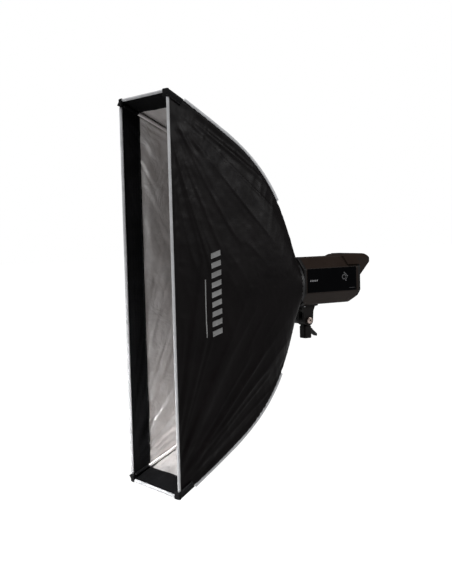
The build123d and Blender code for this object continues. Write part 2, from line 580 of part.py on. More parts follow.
def make_rear_panel():
    """The control panel and everything set in it."""
    panel = head_body(PANEL_FRONT, PANEL_BACK, 6.2)
    panel -= deep_block(-27, 27, 630, 640, 15, 37)
    panel -= deep_bar(3.05, 630, 640, 0, DIAL_LEVEL)
    for x, level in BUTTON_PLACES:
        panel -= deep_block(x - 5.3, x + 5.3, 630, 640, level - 3.3, level + 3.3)
    panel -= deep_block(INLET_X - 13, INLET_X + 13, 630, 640, SOCKETS_LEVEL - 7.5, SOCKETS_LEVEL + 7.5)
    panel -= deep_block(ROCKER_X - 7.3, ROCKER_X + 7.3, 630, 640, SOCKETS_LEVEL - 9.8, SOCKETS_LEVEL + 7.5)
    panel -= deep_bar(4.05, 630, 640, FUSE_X, SOCKETS_LEVEL + 4)
    panel -= deep_bar(3.6, 630, 640, SYNC_X, SYNC_LEVEL)
    keep("rear_panel", panel)
    window = deep_block(-26.8, 26.8, 635.4, 637.4, 15.2, 36.8)
    keep("display_window", chamfer(window.faces().sort_by(Axis.Y)[-1].edges(), 0.5))

    dial = deep_bar(DIAL_RADIUS, 637.6, 647, 0, DIAL_LEVEL)
    dial = fillet(dial.faces().sort_by(Axis.Y)[-1].edges(), 1.2)
    for flute in range(18):
        turn, rim = radians(flute * 20), DIAL_RADIUS + 0.2
        dial -= deep_bar(0.7, 638.6, 650, rim * cos(turn), DIAL_LEVEL + rim * sin(turn))
    keep("control_dial", dial + deep_bar(3.0, 614.2, 638, 0, DIAL_LEVEL))

    for number, (x, level) in enumerate(BUTTON_PLACES, 1):
        cap = deep_block(x - 5, x + 5, 633, 639.4, level - 3, level + 3)
        cap = fillet(cap.faces().sort_by(Axis.Y)[-1].edges(), 0.9)
        flange = deep_block(x - 6.4, x + 6.4, 631.6, 633.9, level - 4.4, level + 4.4)
        keep(f"button_{number}", cap + flange + deep_bar(1.5, 615.4, 632, x, level))

    inlet = deep_block(INLET_X - 12.7, INLET_X + 12.7, 618, 637.5, SOCKETS_LEVEL - 7.2, SOCKETS_LEVEL + 7.2)
    inlet += deep_block(INLET_X - 14.5, INLET_X + 14.5, 637.05, 639, SOCKETS_LEVEL - 9, SOCKETS_LEVEL + 8.9)
    inlet -= deep_block(INLET_X - 10.5, INLET_X + 10.5, 624, 640, SOCKETS_LEVEL - 5.5, SOCKETS_LEVEL + 5.5)
    for x in (-5.5, 0.0, 5.5):
        inlet += deep_block(INLET_X + x - 0.9, INLET_X + x + 0.9, 623, 635, SOCKETS_LEVEL - 2, SOCKETS_LEVEL + 2)
    keep("mains_inlet", inlet)

    low, high = SOCKETS_LEVEL - 9.0, SOCKETS_LEVEL + 7.0
    level = (low + high) / 2
    rocker = side_profile(ROCKER_X - 6.8, ROCKER_X + 6.8, (FRONT_Y + 632, AXIS_Z + level - 5),
                          (FRONT_Y + 639.2, AXIS_Z + level - 7), (FRONT_Y + 637.8, AXIS_Z + level),
                          (FRONT_Y + 639.2, AXIS_Z + level + 7), (FRONT_Y + 632, AXIS_Z + level + 5))
    pivot = Pos(0, FRONT_Y + 633, AXIS_Z + level)
    keep("mains_rocker", pivot * Rot(-ROCKER_SWING, 0, 0) * Pos(0, -FRONT_Y - 633, -AXIS_Z - level) * rocker)

    cap = deep_bar(6.5, 637.3, 643, FUSE_X, SOCKETS_LEVEL + 4)
    cap -= deep_block(FUSE_X - 7, FUSE_X + 7, 641.6, 644, SOCKETS_LEVEL + 3.2, SOCKETS_LEVEL + 4.8)
    keep("fuse_cap", cap + deep_bar(4.0, 622, 638, FUSE_X, SOCKETS_LEVEL + 4))
    sync = deep_ring(3.5, SYNC_BORE, 626, 637.2, SYNC_X, SYNC_LEVEL)
    keep("sync_socket", sync + deep_ring(5.2, SYNC_BORE, 637.1, 638.6, SYNC_X, SYNC_LEVEL))


def make_release_slider():
    """The bayonet's release, a ribbed slide in the top of the casing."""
    slider = deep_block(-6.7, 6.7, 463, 479, HEAD_HIGH - 5, HEAD_HIGH + 1.2)
    slider += deep_block(-9, 9, 460.6, 481, HEAD_HIGH - 5, HEAD_HIGH - WALL - 0.3)
    for rib in range(4):
        depth = 465.5 + rib * 3.4
        slider -= deep_block(-8, 8, depth, depth + 1.4, HEAD_HIGH + 0.5, HEAD_HIGH + 3)
    keep("release_slider", slider)


# ---- tilting stand bracket ----
YOKE_SCREWS = [(-21, -17), (21, -17), (-21, 21), (21, 21)]


def yoke_screw(x, y, slack=0.0):
    """A screw up through the yoke's flange into the casing, or with slack the hole for it."""
    shank = Pos(x, y, YOKE_TOP + 1) * Cylinder(1.5 + slack, 13)
    head = Pos(x, y, YOKE_TOP - 4.6) * Cylinder(2.8 + slack, 2.2)
    return shank + head


def make_bracket():
    """The yoke under the head, its pivot bolt, its friction discs, the tilt lever and the umbrella screw."""
    yoke = side_profile(-CHEEK_OUTER, CHEEK_OUTER, (-CHEEK_RADIUS, PIVOT_Z), (-CHEEK_RADIUS, PIVOT_Z + 22),
                        (-24, YOKE_TOP - 0.05), (25, YOKE_TOP - 0.05), (17, YOKE_SLOT_TOP), (CHEEK_RADIUS, PIVOT_Z))
    yoke += bar_x(CHEEK_RADIUS, -CHEEK_OUTER, CHEEK_OUTER, 0, PIVOT_Z)
    yoke -= block(-CHEEK_INNER, CHEEK_INNER, -60, 60, 0, YOKE_SLOT_TOP)
    yoke -= bar_x(PIVOT_RADIUS + 0.05, -40, 40, 0, PIVOT_Z)
    flange = block(-26, 26, -24, 28, YOKE_TOP - 4, YOKE_TOP - 0.05)
    yoke += fillet(flange.edges().filter_by(Axis.Z), 4)
    yoke += bar_y(UMBRELLA_BOSS, UMBRELLA_FRONT, UMBRELLA_REAR, 0, UMBRELLA_Z)
    yoke -= bar_y(UMBRELLA_BORE, -60, 60, 0, UMBRELLA_Z)
    yoke -= bar_x(UMBRELLA_THREAD + 0.05, -40, -1, UMBRELLA_SCREW_Y, UMBRELLA_Z)
    for place in YOKE_SCREWS:
        yoke -= yoke_screw(*place, 0.1)
        PARTS["lower_casing"] -= yoke_screw(*place, 0.1)
    keep("tilt_yoke", yoke)
    keep("yoke_screws", *[yoke_screw(*place) for place in YOKE_SCREWS])

    bolt = bar_x(PIVOT_RADIUS, -30, CHEEK_OUTER + 1, 0, PIVOT_Z)
    cap = bar_x(8.8, CHEEK_OUTER + 0.1, CHEEK_OUTER + 7, 0, PIVOT_Z)
    cap = fillet(cap.faces().sort_by(Axis.X)[-1].edges(), 1.6)
    keep("tilt_bolt", bolt + cap)
    disc = bar_x(13.0, TONGUE_HALF_WIDTH + 0.2, CHEEK_INNER - 0.05, 0, PIVOT_Z)
    keep("friction_discs", *mirror_sides(disc - bar_x(PIVOT_RADIUS + 0.1, 0, 20, 0, PIVOT_Z)))

    hub = bar_x(12.0, -44, -CHEEK_OUTER - 0.4, 0, PIVOT_Z)
    hub = fillet(hub.faces().sort_by(Axis.X)[0].edges(), 2.5)
    arm = side_profile(-42, -34, (0, 7.5), (40, 5.0), (44, 0), (40, -5.0), (0, -7.5))
    lever = hub + Pos(0, 0, PIVOT_Z) * Rot(15, 0, 0) * arm
    keep("tilt_lever", lever - bar_x(PIVOT_BORE, -30.5, 0, 0, PIVOT_Z))

    knob = bar_x(6.0, -33, -19, UMBRELLA_SCREW_Y, UMBRELLA_Z)
    for flute in range(6):
        turn = radians(flute * 60 + 30)
        knob -= bar_x(1.5, -34, -18, UMBRELLA_SCREW_Y + 7.2 * cos(turn), UMBRELLA_Z + 7.2 * sin(turn))
    thread = bar_x(UMBRELLA_THREAD, -20, -UMBRELLA_BORE - 0.3, UMBRELLA_SCREW_Y, UMBRELLA_Z)
    keep("umbrella_screw", knob + thread)


def make_stand_socket():
    """The socket for the stand's stud, with the tongue between the yoke's cheeks, and its locking lever."""
    body = block(-SOCKET_HALF_WIDTH, SOCKET_HALF_WIDTH, SOCKET_FRONT, SOCKET_REAR, 0, SOCKET_TOP)
    body = fillet(body.edges().filter_by(Axis.Z), 5)
    body = chamfer(body.faces().sort_by(Axis.Z)[0].edges(), 1.5)
    body = chamfer(body.faces().sort_by(Axis.Z)[-1].edges(), 1.2)
    body += block(-TONGUE_HALF_WIDTH, TONGUE_HALF_WIDTH, -11, 11, SOCKET_TOP - 2, PIVOT_Z)
    body += bar_x(14.8, -TONGUE_HALF_WIDTH, TONGUE_HALF_WIDTH, 0, PIVOT_Z)
    body -= bar_x(PIVOT_BORE, -20, 20, 0, PIVOT_Z)
    body -= Pos(0, 0, STUD_DEPTH / 2) * Cylinder(STUD_BORE, STUD_DEPTH)
    body -= bar_y(3.05, 4, 20, 0, LOCK_Z)
    keep("stand_socket", body)

    wing = side_profile(-3, 3, (14, 26), (19, 26.5), (38.5, 9.5), (38.5, 2.8), (31, 4), (16, 13))
    wing = fillet(wing.edges().filter_by(Axis.X), 1.2)
    screw = bar_y(3.0, STUD_BORE + 0.4, 16, 0, LOCK_Z)
    keep("stand_lock_lever", wing + bar_y(7.4, SOCKET_REAR + 0.5, 21, 0, LOCK_Z) + screw)


make_fabric()
make_binding()
make_corner_pockets()
make_collar()
make_rods()
make_speedring()
make_bayonet()
make_casing()
make_handle()
make_light_source()
make_electronics()
make_rear_panel()
make_release_slider()
make_bracket()
make_stand_socket()

os.makedirs("parts", exist_ok=True)
for name, shape in PARTS.items():
    export_step(shape, f"parts/{name}.step")
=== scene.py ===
import json
import math
import bpy
import numpy as np
from mathutils import Matrix, Vector
from mathutils.bvhtree import BVHTree


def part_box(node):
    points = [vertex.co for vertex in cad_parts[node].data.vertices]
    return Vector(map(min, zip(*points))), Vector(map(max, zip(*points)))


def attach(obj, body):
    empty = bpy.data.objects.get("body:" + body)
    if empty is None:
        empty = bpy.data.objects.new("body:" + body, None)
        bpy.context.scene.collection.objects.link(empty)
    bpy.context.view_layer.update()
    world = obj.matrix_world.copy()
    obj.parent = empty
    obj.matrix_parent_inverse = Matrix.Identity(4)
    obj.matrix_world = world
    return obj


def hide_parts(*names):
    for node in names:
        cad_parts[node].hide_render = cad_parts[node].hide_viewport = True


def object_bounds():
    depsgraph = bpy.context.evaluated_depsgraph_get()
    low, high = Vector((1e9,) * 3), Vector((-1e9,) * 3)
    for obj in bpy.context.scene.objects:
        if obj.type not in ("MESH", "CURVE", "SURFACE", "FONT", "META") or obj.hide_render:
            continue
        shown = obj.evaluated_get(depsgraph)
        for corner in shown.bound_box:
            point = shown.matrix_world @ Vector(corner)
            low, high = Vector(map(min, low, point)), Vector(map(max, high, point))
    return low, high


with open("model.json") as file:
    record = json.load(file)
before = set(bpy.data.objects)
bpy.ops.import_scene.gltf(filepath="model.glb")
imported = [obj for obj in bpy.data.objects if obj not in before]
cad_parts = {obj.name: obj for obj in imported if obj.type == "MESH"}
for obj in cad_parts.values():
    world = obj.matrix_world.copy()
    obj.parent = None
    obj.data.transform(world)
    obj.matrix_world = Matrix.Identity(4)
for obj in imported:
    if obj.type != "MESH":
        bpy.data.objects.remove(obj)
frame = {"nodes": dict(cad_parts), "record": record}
cad_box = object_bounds()

# ---- places taken from the frame, in metres ----
MM = 0.001
PANEL_LOW, PANEL_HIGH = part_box("shell_panel_right")
GLOSS_LOW, GLOSS_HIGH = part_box("side_panels")
DIAL_LOW, DIAL_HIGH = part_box("control_dial")
WINDOW_LOW, WINDOW_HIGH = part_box("display_window")
HANDLE_LOW, HANDLE_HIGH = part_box("carry_handle")
BOLT_LOW, BOLT_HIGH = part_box("tilt_bolt")
REAR_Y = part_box("rear_panel")[1].y
PIVOT_Z = (BOLT_LOW.z + BOLT_HIGH.z) / 2
FRONT_Y = PANEL_LOW.y
AXIS_Z = (PANEL_LOW.z + PANEL_HIGH.z) / 2
HALF_HEIGHT = (PANEL_HIGH.z - PANEL_LOW.z) / 2
HALF_WIDTH = 125 * MM
FLOOR_Z = cad_box[0][2] - 540 * MM     # low, so that no shadow shows beside the object

# ---- the softbox's form, as the CAD model has it ----
SIDE_LEAN = math.atan2(65, 412)
SEAM_START = math.radians(26.5)
SEAM_ARCS = [(247 * MM, 5.9), (218 * MM, 28.6), (155 * MM, 15.8)]
SEAM_LENGTH = sum(length for length, turn in SEAM_ARCS)
REAR_BULGE = 35 * MM
COLLAR_DEPTH = 412 * MM
HEM_RADIUS = 78.6 * MM
HEM_DEPTH = 419.5 * MM
LINING_START = 53 * MM
LINING_FADE = 56 * MM, 85 * MM       # where the silver's own crumples begin, behind the lip
LIP_END = 57 * MM
SIDE_OUT = np.array([math.cos(SIDE_LEAN), math.sin(SIDE_LEAN), 0])
SIDE_BACK = np.array([-math.sin(SIDE_LEAN), math.cos(SIDE_LEAN), 0])
CORNERS = [np.array([x, 1, z]) for x in (1, -1) for z in (1, -1)]

# ---- cloth grids: rows along a seam, and steps across a side and an end panel ----
ROWS, SIDE_STEPS, END_STEPS = 126, 180, 48
COLLAR_STEPS, HEM_STEPS, HEM_ROLL, HEM_TURN = 14, 10, 1.9 * MM, math.radians(320)
SHELL_CLOTH, LINING_CLOTH, LIP_CLOTH = 0.7 * MM, 0.5 * MM, 0.8 * MM

# ---- folds, tapes, sleeves, pockets and print ----
SEAM_TAPE_WIDTH, TAPE_SHEET, FRONT_TAPE_WIDTH = 8 * MM, 0.8 * MM, 4.6 * MM
TAPE_OUTSIDE, TAPE_INSIDE = 0.35 * MM, 3.4 * MM     # the front tape's gap to the cloth's line, on each side
TAPE_STOP = 16.5 * MM                # how far the front tape stops short of a corner
SEAM_TAPE_START, SEAM_TAPE_END = 51 * MM, 356 * MM
SLEEVE_INSET, SLEEVE_RADIUS, SLEEVE_TAIL = 11 * MM, 4.3 * MM, 9 * MM
SLEEVES = (0.016, 0.057), (0.058, 0.214), (0.236, 0.372), (0.394, 0.486)
POCKET_REACH, POCKET_SIDE, POCKET_SHEET, POCKET_LIFT = 54 * MM, 15 * MM, 1.3 * MM, 1.3 * MM
PRINT_DEPTH, PRINT_WIDTH = 0.120, 0.030
PRINT_LOW, PRINT_PITCH, PRINT_BARS = -0.110, 0.0245, 9
FOLDS_UPPER, FOLDS_LOWER, FOLDS_FRONT, FOLDS_SEAM = 6.0 * MM, 9.0 * MM, 4.2 * MM, 4.6 * MM
MARK = 0.12 * MM                     # thickness of a printed mark

# ---- camera ----
AZIMUTH, PITCH, ROLL = (math.radians(angle) for angle in (57.51, 3.75, -1.53))
CAMERA_BACK, CAMERA_ASIDE, CAMERA_ABOVE = 2744.17 * MM, -195.69 * MM, -5.89 * MM
LENS = 66.87

# ---- light ----
AMBIENT = 0.12
SUN_STRENGTH, SUN_SOFTNESS, SUN_FROM = 3.3, 26.0, (0.14, -0.34, 1.0)
FILL_POWER, RIM_POWER, SIDE_POWER, MOUTH_POWER = 4.0, 22.0, 2.5, 1.25
FLOOR_GLOW, FLOOR_BOUNCE, FLOOR_REACH = 0.12, 0.62, 30.0


# ---- smooth noise in two dimensions, the same on every run ----
class Noise:
    """Value noise on a lattice: at(x, y) is between -1 and 1."""

    def __init__(self, seed, size=256):
        self.size = size
        self.values = np.random.default_rng(seed).uniform(-1, 1, (size, size))

    def at(self, x, y):
        x, y = np.broadcast_arrays(np.asarray(x, float), np.asarray(y, float))
        column, row = np.floor(x).astype(int), np.floor(y).astype(int)
        u, v = x - column, y - row
        u, v = u * u * u * (u * (6 * u - 15) + 10), v * v * v * (v * (6 * v - 15) + 10)
        size, grid = self.size, self.values
        left, right = column % size, (column + 1) % size
        near, far = (grid[k % size, left] * (1 - u) + grid[k % size, right] * u for k in (row, row + 1))
        return near * (1 - v) + far * v

    def layers(self, x, y, count=3):
        total = sum(self.at(x * 2 ** k + 17 * k, y * 2 ** k + 31 * k) / 2 ** k for k in range(count))
        return total / 1.6

    def ridges(self, x, y, count=3):
        """Sharp-backed creases between 0 and 1."""
        total = sum((1 - np.abs(self.at(x * 2 ** k + 17 * k, y * 2 ** k + 31 * k))) ** 3 / 1.7 ** k
                    for k in range(count))
        return total / 2.2


def smooth(low, high, x):
    t = np.clip((np.asarray(x, float) - low) / (high - low), 0, 1)
    return t * t * (3 - 2 * t)


# ---- the corner seam and the cross-sections between the seams ----
def seam_at(s):
    """Depth and level of the upper right seam, s metres along it from the front, and its slope."""
    s = np.clip(np.asarray(s, float), 0, SEAM_LENGTH)
    x, y, slope = 0.0, HALF_HEIGHT, SEAM_START
    reach, level, heading = np.zeros_like(s), np.full_like(s, y), np.full_like(s, slope)
    start = 0.0
    for length, turn in SEAM_ARCS:
        turn = math.radians(turn)
        radius = length / turn
        t = np.clip((s - start) / length, 0, 1) * turn
        here = s >= start
        reach = np.where(here, x + radius * (np.sin(slope + t) - math.sin(slope)), reach)
        level = np.where(here, y + radius * (np.cos(slope + t) - math.cos(slope)), level)
        heading = np.where(here, slope + t, heading)
        x += radius * (math.sin(slope + turn) - math.sin(slope))
        y += radius * (math.cos(slope + turn) - math.cos(slope))
        slope += turn
        start += length
    return reach * math.cos(SIDE_LEAN), level, heading


def half_width_at(depth):
    return HALF_WIDTH - depth * math.tan(SIDE_LEAN)


def bulge_at(depth):
    return REAR_BULGE * (np.maximum(depth, 0) / COLLAR_DEPTH) ** 1.3


def crown_at(depth):
    """How far the top panel stands above its seams: it hollows a little, then domes over the ring."""
    rear = 0.0185 * smooth(0.31, 0.412, depth)
    return rear - 3.5 * MM * np.sin(np.pi * np.clip(depth / 0.36, 0, 1))


def arc_between(half_chord, rise, t):
    """A circular arc over a chord, for t from -1 to 1: how far along the chord, and how far off it."""
    rise = np.where(np.abs(rise) < 1e-5, 1e-5, rise)
    half_angle = 2 * np.arctan2(rise, half_chord)
    radius = half_chord / np.sin(half_angle)
    return radius * np.sin(half_angle * t), radius * np.cos(half_angle * t) - radius + rise


def side_surface(s, t, inset=0.0):
    """Points of the right side panel: s along the seams, t from -1 at the lower seam to 1 at the upper."""
    depth, level, heading = seam_at(s)
    half = level - inset / np.cos(heading)
    along, off = arc_between(half, bulge_at(depth), t)
    x = half_width_at(depth) - inset + off
    return np.stack([x, FRONT_Y + depth + 0 * x, AXIS_Z + along], -1)


def end_surface(s, t, inset=0.0):
    """Points of the top panel: s along the seams, t from -1 at the left seam to 1 at the right."""
    depth, level, heading = seam_at(s)
    half = half_width_at(depth) - inset
    along, off = arc_between(half, crown_at(depth), t)
    z = level - inset / np.cos(heading) + off
    return np.stack([along, FRONT_Y + depth + 0 * z, AXIS_Z + z], -1)


def grid_normals(points):
    by_row, by_column = np.gradient(points, axis=0), np.gradient(points, axis=1)
    normals = np.cross(by_row, by_column)
    return normals / np.maximum(np.linalg.norm(normals, axis=-1, keepdims=True), 1e-12)


def mesh_of(name, points, faces, material, smooth_shading=True):
    mesh = bpy.data.meshes.new(name)
    mesh.from_pydata([tuple(p) for p in points], [], [tuple(f) for f in faces])
    mesh.validate()
    mesh.materials.append(material)
    if smooth_shading:
        mesh.shade_smooth()
    piece = bpy.data.objects.new(name, mesh)
    bpy.context.scene.collection.objects.link(piece)
    return piece


def grid_faces(rows, columns, closed=False):
    return [(r * columns + c, r * columns + (c + 1) % columns,
             (r + 1) * columns + (c + 1) % columns, (r + 1) * columns + c)
            for r in range(rows - 1) for c in range(columns if closed else columns - 1)]


def apply_modifiers(piece):
    deps = bpy.context.evaluated_depsgraph_get()
    mesh = bpy.data.meshes.new_from_object(piece.evaluated_get(deps))
    piece.modifiers.clear()
    piece.data = mesh


# ---- materials ----
def new_material(name, roughness=0.5, metallic=0.0, **sockets):
    material = bpy.data.materials.new(name)
    material.use_nodes = True
    shader = material.node_tree.nodes["Principled BSDF"]
    shader.inputs["Roughness"].default_value = roughness
    shader.inputs["Metallic"].default_value = metallic
    for socket, value in sockets.items():
        shader.inputs[socket.replace("_", " ")].default_value = value
    return material, material.node_tree, shader


def add_node(tree, kind, **values):
    node = tree.nodes.new(kind)
    for key, value in values.items():
        if key in node.inputs:
            node.inputs[key].default_value = value
        else:
            setattr(node, key, value)
    return node


def position(tree, scale=(1, 1, 1)):
    """Object coordinates in metres, scaled."""
    coordinates = add_node(tree, "ShaderNodeTexCoord")
    mapping = add_node(tree, "ShaderNodeMapping")
    mapping.inputs["Scale"].default_value = scale
    tree.links.new(coordinates.outputs["Object"], mapping.inputs["Vector"])
    return mapping.outputs["Vector"]


def noise_texture(tree, scale, detail=3.0, rough=0.55, stretch=(1, 1, 1)):
    node = add_node(tree, "ShaderNodeTexNoise", Scale=scale, Detail=detail, Roughness=rough)
    tree.links.new(position(tree, stretch), node.inputs["Vector"])
    return node.outputs["Fac"]


def colour_ramp(tree, factor, stops):
    """Colours along a factor; one number is a grey."""
    ramp = add_node(tree, "ShaderNodeValToRGB")
    elements = ramp.color_ramp.elements
    while len(elements) < len(stops):
        elements.new(0.5)
    for element, (place, colour) in zip(elements, stops):
        element.position = place
        element.color = (*(colour if isinstance(colour, tuple) else (colour,) * 3), 1.0)
    tree.links.new(factor, ramp.inputs["Fac"])
    return ramp.outputs["Color"]


def value_range(tree, factor, low, high, from_low=0.3, from_high=0.7):
    node = add_node(tree, "ShaderNodeMapRange")
    for key, value in (("From Min", from_low), ("From Max", from_high), ("To Min", low), ("To Max", high)):
        node.inputs[key].default_value = value
    tree.links.new(factor, node.inputs["Value"])
    return node.outputs["Result"]


def maths(tree, operation, a, b):
    node = add_node(tree, "ShaderNodeMath", operation=operation)
    for index, item in enumerate((a, b)):
        if isinstance(item, (int, float)):
            node.inputs[index].default_value = item
        else:
            tree.links.new(item, node.inputs[index])
    return node.outputs["Value"]


def weave_height(tree, threads_per_metre):
    """A plain weave: crossed waves of threads along the three axes."""
    total = None
    for direction in ("X", "Y", "Z"):
        wave = add_node(tree, "ShaderNodeTexWave", wave_type="BANDS", bands_direction=direction,
                        Scale=threads_per_metre / 20, Distortion=0.4, Detail=1.0)
        tree.links.new(position(tree), wave.inputs["Vector"])
        total = wave.outputs["Fac"] if total is None else maths(tree, "ADD", total, wave.outputs["Fac"])
    return total


def bump(tree, shader, height, strength, distance):
    node = add_node(tree, "ShaderNodeBump", Strength=strength, Distance=distance)
    tree.links.new(height, node.inputs["Height"])
    last = shader.inputs["Normal"].links[0].from_socket if shader.inputs["Normal"].links else None
    if last:
        tree.links.new(last, node.inputs["Normal"])
    tree.links.new(node.outputs["Normal"], shader.inputs["Normal"])


def cloth_material(name, dark, light, roughness, threads, sheen, weave, mottling, gloss):
    material, tree, shader = new_material(name, roughness, Sheen_Weight=sheen, Sheen_Roughness=0.45,
                                          Specular_IOR_Level=gloss)
    mottle = noise_texture(tree, mottling, 4.0)
    tree.links.new(colour_ramp(tree, mottle, [(0.3, dark), (0.7, light)]), shader.inputs["Base Color"])
    tree.links.new(value_range(tree, noise_texture(tree, 30.0), roughness - 0.08, roughness + 0.08),
                   shader.inputs["Roughness"])
    bump(tree, shader, weave_height(tree, threads), weave, 0.15 * MM)
    bump(tree, shader, noise_texture(tree, 240.0, 5.0), 0.25, 0.3 * MM)
    return material


def plastic_material(name, dark, light, roughness, grain, grain_scale, gloss):
    material, tree, shader = new_material(name, roughness, Specular_IOR_Level=gloss)
    mottle = noise_texture(tree, 14.0, 4.0)
    tree.links.new(colour_ramp(tree, mottle, [(0.3, dark), (0.7, light)]), shader.inputs["Base Color"])
    wear = noise_texture(tree, 55.0, 6.0, 0.7)
    tree.links.new(value_range(tree, wear, roughness - 0.07, roughness + 0.1), shader.inputs["Roughness"])
    bump(tree, shader, noise_texture(tree, grain_scale, 2.0), grain, 0.1 * MM)
    return material


def metal_material(name, dark, light, roughness, stretch, brush, metallic):
    material, tree, shader = new_material(name, roughness, metallic)
    streaks = noise_texture(tree, 90.0, 5.0, 0.6, stretch)
    tree.links.new(colour_ramp(tree, streaks, [(0.3, dark), (0.7, light)]), shader.inputs["Base Color"])
    tree.links.new(value_range(tree, streaks, roughness - 0.08, roughness + 0.12), shader.inputs["Roughness"])
    bump(tree, shader, noise_texture(tree, 600.0, 3.0, 0.6, stretch), brush, 0.08 * MM)
    return material


def silver_material():
    """Aluminised cloth: a satin foil film over a fine grain, with soft creases that catch the light."""
    material, tree, shader = new_material("silver_cloth", 0.4, 0.72, Specular_IOR_Level=0.4)
    mottle = noise_texture(tree, 16.0, 5.0, 0.6)
    tree.links.new(colour_ramp(tree, mottle, [(0.3, (0.50, 0.475, 0.465)), (0.7, (0.70, 0.68, 0.675))]),
                   shader.inputs["Base Color"])
    tree.links.new(value_range(tree, noise_texture(tree, 60.0, 4.0), 0.32, 0.48), shader.inputs["Roughness"])
    creases = add_node(tree, "ShaderNodeTexNoise", Scale=14.0, Detail=5.0, Roughness=0.5, Distortion=1.6)
    tree.links.new(position(tree), creases.inputs["Vector"])
    bump(tree, shader, creases.outputs["Fac"], 0.35, 12 * MM)
    bump(tree, shader, noise_texture(tree, 70.0, 6.0, 0.6), 0.2, 2 * MM)
    bump(tree, shader, weave_height(tree, 1500), 0.1, 0.1 * MM)
    return material


def glass_material(name, colour, roughness):
    material, tree, shader = new_material(name, roughness, IOR=1.5, Transmission_Weight=0.9)
    mottle = noise_texture(tree, 30.0)
    light = tuple(min(1.0, c * 1.04) for c in colour)
    tree.links.new(colour_ramp(tree, mottle, [(0.3, colour), (0.7, light)]), shader.inputs["Base Color"])
    tree.links.new(value_range(tree, mottle, roughness, roughness + 0.05), shader.inputs["Roughness"])
    return material


# dark and light colours (one number is a grey), roughness, threads a metre, sheen, weave, mottling, gloss
CLOTHS = {
    "outer_fabric": ((0.0026, 0.0019, 0.0021), (0.0048, 0.0037, 0.0040), 0.42, 1600, 0.0, 0.12, 9.0, 0.06),
    "lip_fabric": ((0.002, 0.002, 0.0022), (0.004, 0.004, 0.0045), 0.9, 900, 0.0, 0.5, 9.0, 0.05),
    "binding_tape": ((0.40, 0.405, 0.415), (0.52, 0.525, 0.54), 0.75, 1100, 0.1, 0.5, 40.0, 0.3),
    "webbing": ((0.004, 0.004, 0.0045), (0.008, 0.008, 0.0085), 0.75, 700, 0.0, 0.8, 9.0, 0.08),
    "grey_thread": ((0.30, 0.30, 0.31), (0.42, 0.42, 0.43), 0.7, 2500, 0.2, 0.25, 60.0, 0.3),
    "black_thread": (0.010, 0.020, 0.6, 2500, 0.2, 0.25, 60.0, 0.3),
}
# dark and light colours, roughness, depth of the grain, its scale, gloss
PLASTICS = {
    "knob_plastic": (0.010, (0.020, 0.020, 0.021), 0.5, 0.15, 1400.0, 0.15),
    "casing_plastic": ((0.0120, 0.0077, 0.0059), (0.0163, 0.0108, 0.0084), 0.42, 0.3, 2200.0, 0.08),
    "frame_plastic": ((0.006, 0.0055, 0.0055), (0.011, 0.0105, 0.0105), 0.5, 0.25, 1400.0, 0.12),
    "panel_gloss": ((0.0010, 0.0011, 0.0014), (0.0016, 0.0017, 0.0021), 0.2, 0.02, 60.0, 0.02),
    "holder_ceramic": ((0.66, 0.65, 0.61), (0.76, 0.75, 0.71), 0.6, 0.3, 500.0, 0.4),
    "capacitor_can": ((0.02, 0.03, 0.10), (0.03, 0.045, 0.14), 0.3, 0.05, 1400.0, 0.4),
    "circuit_board": ((0.01, 0.09, 0.03), (0.02, 0.14, 0.05), 0.35, 0.4, 300.0, 0.4),
    "fan_plastic": (0.012, 0.02, 0.5, 0.15, 1400.0, 0.4),
    "display_glass": ((0.003, 0.004, 0.005), (0.005, 0.006, 0.008), 0.08, 0.01, 40.0, 0.4),
    "key_plastic": ((0.04, 0.04, 0.042), (0.06, 0.06, 0.063), 0.4, 0.15, 1400.0, 0.4),
    "inlet_plastic": (0.006, 0.012, 0.5, 0.15, 1400.0, 0.4),
    "rocker_plastic": ((0.22, 0.012, 0.01), (0.30, 0.02, 0.015), 0.28, 0.05, 1400.0, 0.4),
    "bracket_metal": ((0.006, 0.0048, 0.0046), (0.010, 0.0083, 0.0080), 0.5, 0.5, 900.0, 0.10),
    "disc_fibre": ((0.12, 0.09, 0.06), (0.2, 0.15, 0.11), 0.8, 0.6, 400.0, 0.4),
    "mark_paint": (0.15, 0.23, 0.6, 0.2, 900.0, 0.4),
    "panel_mark": ((0.22, 0.22, 0.23), (0.32, 0.32, 0.33), 0.5, 0.2, 900.0, 0.4),
    "faint_mark": ((0.05, 0.05, 0.053), (0.08, 0.08, 0.084), 0.5, 0.2, 900.0, 0.4),
    "display_segment": ((0.5, 0.09, 0.04), (0.62, 0.13, 0.06), 0.3, 0.05, 1400.0, 0.4),
    "rubber": (0.004, 0.008, 0.8, 0.6, 1200.0, 0.4),
}
# dark and light colours, roughness, stretch of the brushing, its depth, metallic
METALS = {
    "rod_steel": ((0.02, 0.02, 0.021), (0.05, 0.05, 0.052), 0.36, (6, 0.6, 0.6), 0.2, 1.0),
    "ring_metal": ((0.012, 0.012, 0.013), (0.022, 0.022, 0.023), 0.45, (1, 6, 1), 0.1, 0.5),
    "bayonet_metal": ((0.16, 0.16, 0.165), (0.26, 0.26, 0.265), 0.34, (1, 8, 1), 0.2, 1.0),
    "screw_steel": ((0.45, 0.45, 0.47), (0.66, 0.66, 0.68), 0.34, (1, 1, 1), 0.2, 1.0),
    "reflector_metal": ((0.75, 0.75, 0.76), 0.9, 0.14, (1, 1, 1), 0.05, 1.0),
    "bolt_brass": ((0.42, 0.33, 0.29), (0.62, 0.52, 0.47), 0.36, (1, 1, 1), 0.2, 1.0),
}
